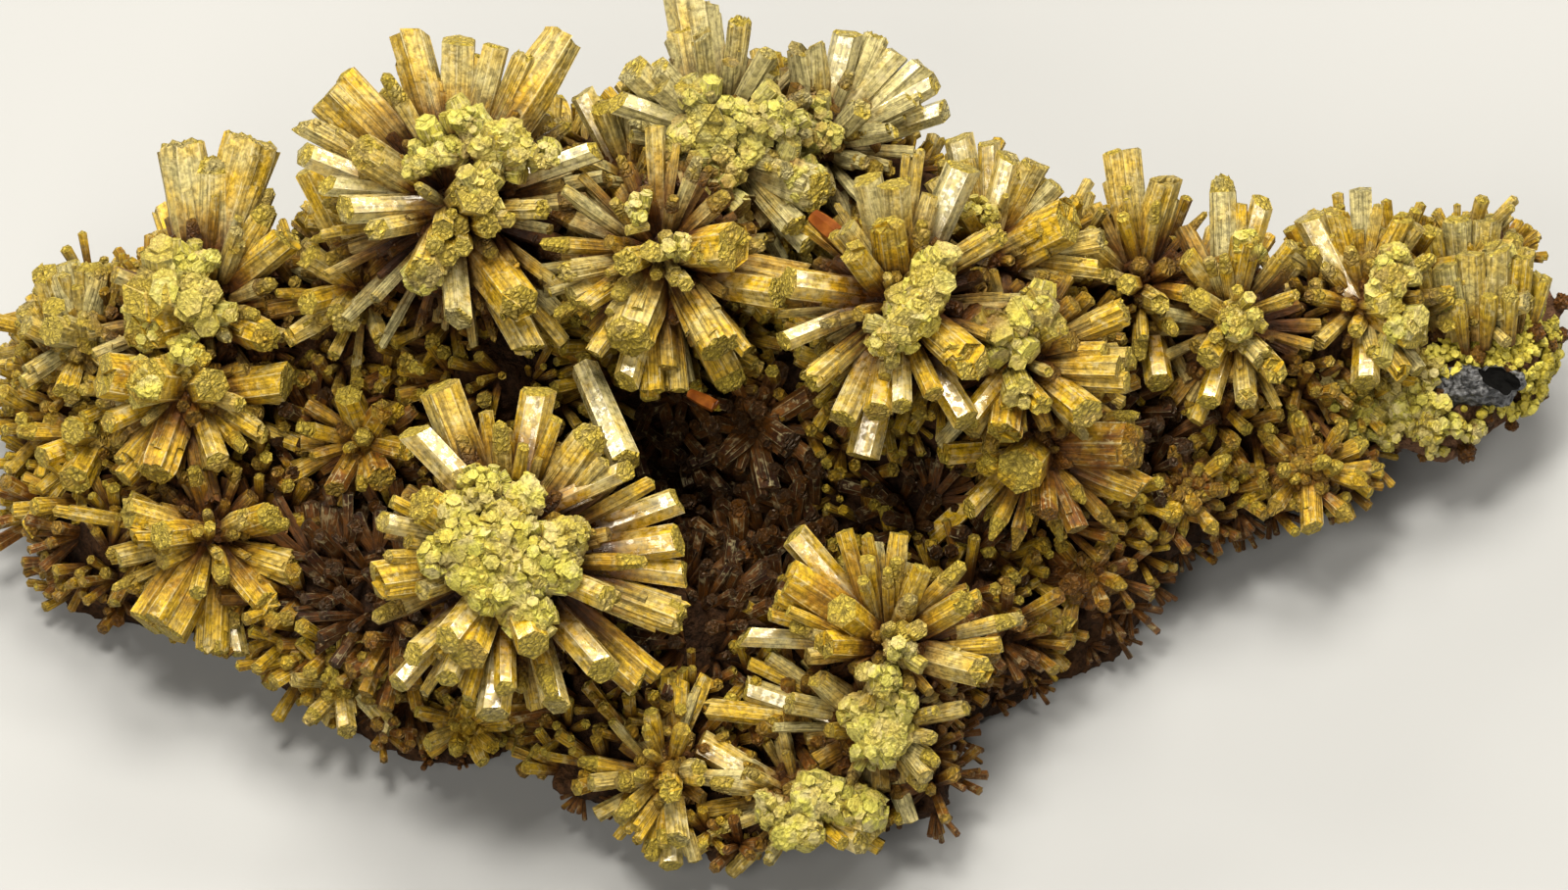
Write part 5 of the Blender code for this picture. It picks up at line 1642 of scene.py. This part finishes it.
def stout_growth(root, tip, width, green, thin, tone, chance, dice):
    """One listed crystal, which by chance mirrors a softbox to the viewer."""
    tone += dice.uniform(-TONE_SHAKE, TONE_SHAKE)
    green *= dice.uniform(0.3, 0.8)
    tilt, tilted_root, twist = mirroring(root, tip)
    least, most = GLINT_WIDTHS
    most_tilt = MOST_GLINT_TILT * (1 + chance) / (1 + GLINT_CHANCE)
    fit = least < width < most and tilt < most_tilt
    open_place = tone > LEAST_GLINT_TONE and not green
    if fit and open_place and dice.random() < chance:
        place = placed(tilted_root, tip, width * MM * FLAT_ALLOWANCE, twist)
        shape = stout_shapes()[dice.choice(GLINT_SHAPES)]
        # A crystal turned to mirror a softbox is also painted a little paler, as painted highlight.
        return Growth(shape, place, tone + 0.1, 0.0, 1.0)
    place = placed(root, tip, width * MM * FLAT_ALLOWANCE, dice.uniform(0, math.tau))
    shape = dice.choice(stout_shapes() if width > LEAST_STOUT else thin)
    return Growth(shape, place, tone, green, dice.random() * 0.8)


# ---------------------------------------------------------------- operators

class SPECIMEN_OT_sprays(bpy.types.Operator):
    """Grow the crystal sprays of the show face and of the back"""

    bl_idname = "specimen.sprays"
    bl_label = "Crystal Sprays"

    def execute(self, context):
        for spray in SPRAYS:
            self.settle_spray(spray, self.front_growths(spray))
        for spray in BACK_SPRAYS:
            self.settle_spray(spray, self.back_growths(spray))
        return {"FINISHED"}

    def settle_spray(self, spray, growths):
        settle(grow_mesh(spray.name + "_crystals", growths), "pyromorphite", spray.name)

    def front_growths(self, spray):
        """All that grows in a spray of the show face."""
        dice = random.Random(spray.name)
        heart = show_face(*spray.heart)
        chance = 1.0 if spray.name == BRIGHT_SPRAY else GLINT_CHANCE
        thin = needle_shapes() if spray.name in NEEDLE_SPRAYS else thin_shapes()
        growths = []
        heroes = []
        for right, up, width in spray.tips:
            tip = dome_tip(spray, right, up, dice)
            root = heart + random_shift(dice, ROOT_SHAKE)
            central = math.hypot(right, up) < spray.radius * GREEN_REACH
            tone = usual_tone(spray.heart[1] + up) + spray.tone
            growths.append(stout_growth(root, tip, width, central * spray.green, thin, tone,
                                        chance, dice))
            axis = tip - heart
            heroes.append((axis.normalized(), math.atan(width * MM / 2 / axis.length)))
        for root, tip, width in COLUMNS.get(spray.name, ()):
            tone = usual_tone(tip[1]) + spray.tone
            growths.append(stout_growth(show_face(*root), show_face(*tip), width,
                                        0.5 * spray.green, thin, tone, 0.0, dice))
        tone = usual_tone(spray.heart[1]) + spray.tone - 0.05
        growths += filler_growths(heart, lambda ray: dome_reach(spray, ray), spray.reach, heroes,
                                  thin, tone, dice)
        growths += heart_growths(heart, spray.radius, spray.green, thin, tone, dice)
        return growths + spray_lumps(spray, tone, dice)

    def back_growths(self, spray):
        """All that grows in a spray of the back."""
        dice = random.Random(spray.name)
        heart = self.back_heart(spray)
        turn = Vector((0, 0, 1)).rotation_difference(BACK_POLE)
        growths = []
        heroes = []
        for number in range(BACK_COUNT):
            tilt = BACK_SPREAD * math.sqrt((number + 0.5) / BACK_COUNT)
            ray = turn @ Vector((*on_ring(math.sin(tilt), number * GOLDEN_ANGLE), math.cos(tilt)))
            length = spray.reach * MM * dice.uniform(0.85, 1.1)
            width = spray.width * MM * dice.uniform(0.8, 1.25)
            tip = heart + length * ray
            if in_rock(tip, width / 2) or not in_outline(tip):
                continue
            place = placed(heart, tip, width, dice.uniform(0, math.tau))
            growths.append(Growth(dice.choice(stout_shapes()), place, dice.uniform(*BACK_TONES),
                                  0.0, dice.random()))
            heroes.append((ray, math.atan(width / 2 / length)))
        growths += filler_growths(heart, lambda ray: spray.reach * MM, spray.reach, heroes,
                                  thin_shapes(), BACK_TONE, dice)
        return growths + heart_growths(heart, spray.radius, BACK_GREEN, thin_shapes(), BACK_TONE,
                                       dice)

    def back_heart(self, spray):
        """The heart of a spray of the back: on the rock, and within its node's box."""
        behind = Vector((spray.right, FAR_BEHIND, spray.height)) * MM
        seat, _, _, _ = rock_tree().ray_cast(behind, Vector((0, -1, 0)))
        heart = seat + BACK_SEAT * spray.radius * MM * BACK_POLE
        low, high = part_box(spray.name)
        return Vector([min(max(value, a), b) for value, a, b in zip(heart, low, high)])


class SPECIMEN_OT_crust(bpy.types.Operator):
    """Cover the rock between the sprays with a crust of small crystals"""

    bl_idname = "specimen.crust"
    bl_label = "Crust"

    def execute(self, context):
        crust = context.scene.specimen_crust
        dice = random.Random("crust")
        hearts = [(show_face(*spray.heart), spray.radius * MM) for spray in SPRAYS]
        growths = {"crust_left": [], "crust_middle": [], "crust_right": []}
        for place, normal in self.seats(crust):
            if normal.z < CRUST_END or place.z < CRUST_CLEARANCE:
                continue
            if any((place - heart).length < radius + HEART_CLEARANCE for heart, radius in hearts):
                continue
            growths[self.part(place)].append(self.growth(crust, place, normal, dice))
        for name, own in growths.items():
            settle(grow_mesh(name, own), "pyromorphite")
        return {"FINISHED"}

    def part(self, place):
        """The piece of the crust in which a place lies."""
        left, right = CRUST_BORDERS
        if place.x < left:
            return "crust_left"
        return "crust_right" if place.x > right else "crust_middle"

    def growth(self, crust, place, normal, dice):
        """One growth of the crust: a small spray or, on the right-hand tip, a knob."""
        by_tip = self.by_tip(place)
        low = normal.z < crust.lowest_tilt and place.z < LOW_ROCK
        edge = low or not in_outline(place)
        share, depth = TIP_CRUST if by_tip else EDGE_CRUST if edge else OPEN_CRUST
        reach = crust.reach * dice.uniform(*CRUST_LENGTHS) * share
        ray = (normal + random_shift(dice, CRUST_LEAN)).normalized()
        root = place - depth * MM * normal
        shapes = tuft_shapes()[:-NARROW_TUFTS]
        if root.z + reach * min(ray.z - 0.8, 0) < 0:
            # It would reach the floor, so a narrow spray grows more upwards instead.
            reach *= 0.75
            ray.z = max(ray.z, 0) + 0.7
            ray.normalize()
            shapes = tuft_shapes()[-NARROW_TUFTS:]
        for _ in range(2):
            if not edge and not in_outline(root + 0.8 * reach * ray):
                reach *= 0.8
        shapes = lump_shapes() if by_tip else shapes
        matrix = placed(root, root + reach * ray, reach, dice.uniform(0, math.tau))
        tone = self.tone(place, by_tip or edge, dice)
        return Growth(dice.choice(shapes), matrix, tone, 0.0, dice.random() * 0.6)

    def tone(self, place, brown, dice):
        """How pale one growth of the crust is; in the recesses a dark tone paints shade."""
        right, up = on_show_face(place)
        # In a recess the crust is painted dark as shade.
        if any(math.hypot(right - x, up - y) < radius for x, y, radius in RECESSES):
            return dice.uniform(*RECESS_SHADE_TONES)
        if brown:
            return dice.uniform(*EDGE_TONES)
        hem = min(max((HEM_TOP - up) / HEM_DEPTH, 0), 1)
        return usual_tone(up) + dice.uniform(*CRUST_TONES) - HEM_SHADE * hem

    def by_tip(self, place):
        """Whether a place is on the right-hand tip, where knobs make up the crust."""
        right, up = on_show_face(place)
        return any(from_middle(right, up, zone) < 1 for zone in TIP_ZONES)

    def seats(self, crust):
        """Places on the rock, at least the crust's spacing apart, each with its normal."""
        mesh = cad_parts["matrix"].data
        dice = random.Random("seats")
        faces = list(mesh.polygons)
        areas = [face.area for face in faces]
        tries = round(6 * sum(areas) / crust.spacing**2)
        cells = {}
        seats = []
        for face in dice.choices(faces, areas, k=tries):
            a, b, c = (mesh.vertices[index].co for index in face.vertices[:3])
            s, t = dice.random(), dice.random()
            if s + t > 1:
                s, t = 1 - s, 1 - t
            place = a + s * (b - a) + t * (c - a)
            key = tuple(int(value // crust.spacing) for value in place)
            near = [
                other
                for x in (-1, 0, 1) for y in (-1, 0, 1) for z in (-1, 0, 1)
                for other in cells.get((key[0] + x, key[1] + y, key[2] + z), ())
            ]
            if all((place - other).length > crust.spacing for other in near):
                cells.setdefault(key, []).append(place)
                seats.append((place, face.normal.copy()))
        return seats


class SPECIMEN_OT_extras(bpy.types.Operator):
    """Add the loose crystals between the sprays and the small orange crystals"""

    bl_idname = "specimen.extras"
    bl_label = "Loose Crystals"

    def execute(self, context):
        self.loose_crystals()
        self.orange_crystals()
        return {"FINISHED"}

    def loose_crystals(self):
        dice = random.Random("extras")
        growths = []
        for root, tip, width, tone, mirrors in LOOSE:
            root, tip = show_face(*root), show_face(*tip)
            twist = dice.uniform(0, math.tau)
            if mirrors:
                _, root, twist = mirroring(root, tip)
                shape = stout_shapes()[GLINT_SHAPES[0]]
            else:
                shape = dice.choice(stout_shapes())
            place = placed(root, tip, width * MM, twist)
            growths.append(Growth(shape, place, tone, 0.0, float(mirrors)))
        settle(grow_mesh("loose_crystals", growths), "pyromorphite")

    def orange_crystals(self):
        growths = []
        for place, direction, width in ORANGE:
            root = show_face(*place)
            tip = root + show_direction(*direction).normalized() * ORANGE_LENGTH * MM
            place = placed(root, tip, width * MM, ORANGE_TWIST)
            growths.append(Growth(stout_shapes()[0], place, 0.5, 0.0, 0.5))
        finish = orange_material()
        settle(grow_mesh("orange_crystals", growths, (finish, finish)), "pyromorphite")


class SPECIMEN_OT_tip(bpy.types.Operator):
    """Dress the right-hand tip with a hollow dark rock and yellow grains"""

    bl_idname = "specimen.tip"
    bl_label = "Right-hand Tip"

    def execute(self, context):
        self.hollow_rock()
        self.lumps()
        self.grains()
        return {"FINISHED"}

    def seat(self, right, up):
        """The place and normal where the rock is met from above the show face, if it is."""
        above = show_face(right, up, FAR_ABOVE)
        place, normal, _, _ = rock_tree().ray_cast(above, -to_viewer())
        return place, normal

    def hollow_rock(self):
        """A rough dark rock with a hollow in it."""
        place, _ = self.seat(*HOLLOW_PLACE)
        deselect_all()
        bpy.ops.mesh.primitive_ico_sphere_add(subdivisions=5, radius=0.5)
        rock = bpy.context.object
        rock.name = "tip_rock"
        rock.scale = [size * MM for size in HOLLOW_SIZE]
        bpy.ops.object.transform_apply(location=False, rotation=False, scale=True)
        rock.rotation_euler = face_axes(HOLLOW_LEAN).to_euler()
        rock.location = place
        bpy.ops.object.transform_apply(location=True, rotation=True, scale=False)
        for relief in HOLLOW_RELIEF:
            add_relief(rock, *relief)
        rock.data.materials.append(dark_rock_material())
        hollow = self.hollow(place)
        cut = rock.modifiers.new("Hollow", "BOOLEAN")
        cut.operation = "DIFFERENCE"
        cut.solver = "EXACT"
        cut.object = hollow
        cut.material_mode = "TRANSFER"
        apply_modifiers(rock)
        delete(hollow)
        settle(rock, "matrix")

    def hollow(self, place):
        """The form that is cut out of the dark rock."""
        deselect_all()
        bpy.ops.mesh.primitive_ico_sphere_add(
            subdivisions=4, radius=MM, scale=HOLLOW_BITE, rotation=(0, 0, HOLLOW_TURN))
        hollow = bpy.context.object
        apply_place()
        hollow.matrix_world = face_axes().to_4x4()
        hollow.location = place + show_direction(*HOLLOW_SHIFT)
        apply_place()
        add_relief(hollow, "Chips", "CLOUDS", 0.9 * MM, 0.8 * MM)
        # The faces that the cut leaves inside the rock take this near-black painted shade.
        hollow.data.materials.append(hollow_shade_material())
        return hollow

    def lumps(self):
        """The olive masses on the bare rock."""
        dice = random.Random("tip")
        growths = []
        for right, up, size in TIP_LUMPS:
            place, normal = self.seat(right, up)
            if place is None:
                continue
            shards = round(SHARDS_PER_MM * size)
            size *= MM
            growths += lump_growths(place + normal * size * 0.45, normal, size, shards,
                                    TIP_LUMP_TONE, dice)
        settle(grow_mesh("tip_masses", growths), "pyromorphite")

    def grains(self):
        """The yellow grains on the rock round the hollow one."""
        dice = random.Random("grains")
        shapes = (*rosette_shapes(), *rosette_shapes(), grain_shape(81))
        growths = []
        middle_x, middle_y, reach_x, reach_y = GRAIN_FIELD
        rows = round(reach_y / GRAIN_SPACING)
        columns = round(reach_x / GRAIN_SPACING)
        for row in range(-rows, rows + 1):
            for column in range(-columns, columns + 1):
                right = middle_x + (column + dice.uniform(-0.5, 0.5)) * GRAIN_SPACING
                up = middle_y + (row + dice.uniform(-0.5, 0.5)) * GRAIN_SPACING
                edge = from_middle(right, up, GRAIN_FIELD)
                near = from_middle(right, up, GRAIN_CLEARING)
                place, normal = self.seat(right, up)
                if place is None or edge > 1 or near < 1 or dice.random() < edge**4:
                    continue
                width = dice.uniform(*GRAIN_WIDTHS) * MM
                lean = random_shift(dice, 0.6)
                root = place + normal * dice.uniform(-0.2, 0.5) * MM
                tip = root + (normal + lean).normalized() * width * 0.9
                growths.append(Growth(dice.choice(shapes), placed(root, tip, width, 0.0),
                                      dice.random(), 0.0, 0.3))
        finish = grain_material()
        settle(grow_mesh("tip_grains", growths, (finish, finish)), "pyromorphite")


class SPECIMEN_OT_rock(bpy.types.Operator):
    """Break up the surface of the rock"""

    bl_idname = "specimen.rock"
    bl_label = "Rock"

    def execute(self, context):
        rock = context.scene.specimen_rock
        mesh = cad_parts["matrix"].data.copy()
        obj = bpy.data.objects.new("matrix_rock", mesh)
        context.scene.collection.objects.link(obj)
        mesh.materials.clear()
        mesh.materials.append(rock_material(rock))
        with editing(obj):
            bpy.ops.mesh.select_all(action="SELECT")
            bpy.ops.mesh.remove_doubles(threshold=DOUBLES)
        remesh = obj.modifiers.new("Even", "REMESH")
        remesh.mode = "VOXEL"
        remesh.voxel_size = rock.grain
        for relief in ROCK_RELIEF:
            add_relief(obj, *relief)
        apply_modifiers(obj)
        self.flatten(obj)
        settle(obj, "matrix", "matrix")
        return {"FINISHED"}

    def flatten(self, obj):
        """Keeps the underside on the plane that the specimen rests on."""
        for vertex in obj.data.vertices:
            vertex.co.z = max(vertex.co.z, 0.0)


class SPECIMEN_OT_stage(bpy.types.Operator):
    """Set up the floor, the softboxes and the camera"""

    bl_idname = "specimen.stage"
    bl_label = "Stage"

    def execute(self, context):
        stage = context.scene.specimen_stage
        middle = show_face(0, 0, 0)
        self.floor(stage)
        for name, place, size, share in SOFTBOXES:
            self.softbox(name, middle + Vector(place), middle, size, stage.key_power * share)
        self.room(context.scene)
        self.camera(stage, middle)
        context.scene.view_settings.view_transform = "Standard"
        return {"FINISHED"}

    def floor(self, stage):
        deselect_all()
        bpy.ops.mesh.primitive_plane_add(size=FLOOR_SIZE, location=(0, 0, 0))
        floor = bpy.context.object
        floor.name = "floor"
        floor.data.materials.append(floor_material(stage))

    def softbox(self, name, place, target, size, power):
        deselect_all()
        bpy.ops.object.light_add(type="AREA", location=place)
        light = bpy.context.object
        light.name = name
        light.data.size = size
        light.data.energy = power
        light.data.color = LIGHT_COLOUR
        light.rotation_euler = (target - place).to_track_quat("-Z", "Y").to_euler()
        light.visible_camera = False

    def room(self, scene):
        """The faint light that comes from all round."""
        scene.world = bpy.data.worlds.new("studio")
        scene.world.use_nodes = True
        background = scene.world.node_tree.nodes["Background"]
        background.inputs["Color"].default_value = (*ROOM_COLOUR, 1)
        background.inputs["Strength"].default_value = ROOM_STRENGTH

    def camera(self, stage, middle):
        deselect_all()
        bpy.ops.object.camera_add()
        camera = bpy.context.object
        outward = to_viewer()
        camera.location = middle + stage.camera_distance * outward
        camera.rotation_euler = (-outward).to_track_quat("-Z", "Y").to_euler()
        camera.data.lens = camera.data.sensor_width * stage.camera_distance / (SPECIMEN_WIDTH * MM)
        camera.data.clip_start = NEAREST_SEEN
        bpy.context.scene.camera = camera


PIECES = (
    SPECIMEN_OT_sprays, SPECIMEN_OT_crust, SPECIMEN_OT_extras, SPECIMEN_OT_rock, SPECIMEN_OT_tip,
    SPECIMEN_OT_stage,
)


class SPECIMEN_PT_panel(bpy.types.Panel):
    """The specimen's pieces and their settings"""

    bl_idname = "SPECIMEN_PT_panel"
    bl_label = "Pyromorphite Specimen"
    bl_space_type = "VIEW_3D"
    bl_region_type = "UI"
    bl_category = "Specimen"

    def draw(self, context):
        layout = self.layout
        for operator in PIECES:
            layout.operator(operator.bl_idname)


CLASSES = (
    CrystalSettings, CrustSettings, RockSettings, StageSettings, *PIECES, SPECIMEN_PT_panel,
)


def register():
    for cls in CLASSES:
        bpy.utils.register_class(cls)
    bpy.types.Scene.specimen_crystals = PointerProperty(type=CrystalSettings)
    bpy.types.Scene.specimen_crust = PointerProperty(type=CrustSettings)
    bpy.types.Scene.specimen_rock = PointerProperty(type=RockSettings)
    bpy.types.Scene.specimen_stage = PointerProperty(type=StageSettings)


def unregister():
    for name in ("specimen_stage", "specimen_rock", "specimen_crust", "specimen_crystals"):
        delattr(bpy.types.Scene, name)
    for cls in reversed(CLASSES):
        bpy.utils.unregister_class(cls)


def main():
    register()
    bpy.ops.specimen.sprays()
    bpy.ops.specimen.crust()
    bpy.ops.specimen.extras()
    bpy.ops.specimen.rock()
    bpy.ops.specimen.tip()
    bpy.ops.specimen.stage()


if __name__ == "__main__":
    main()
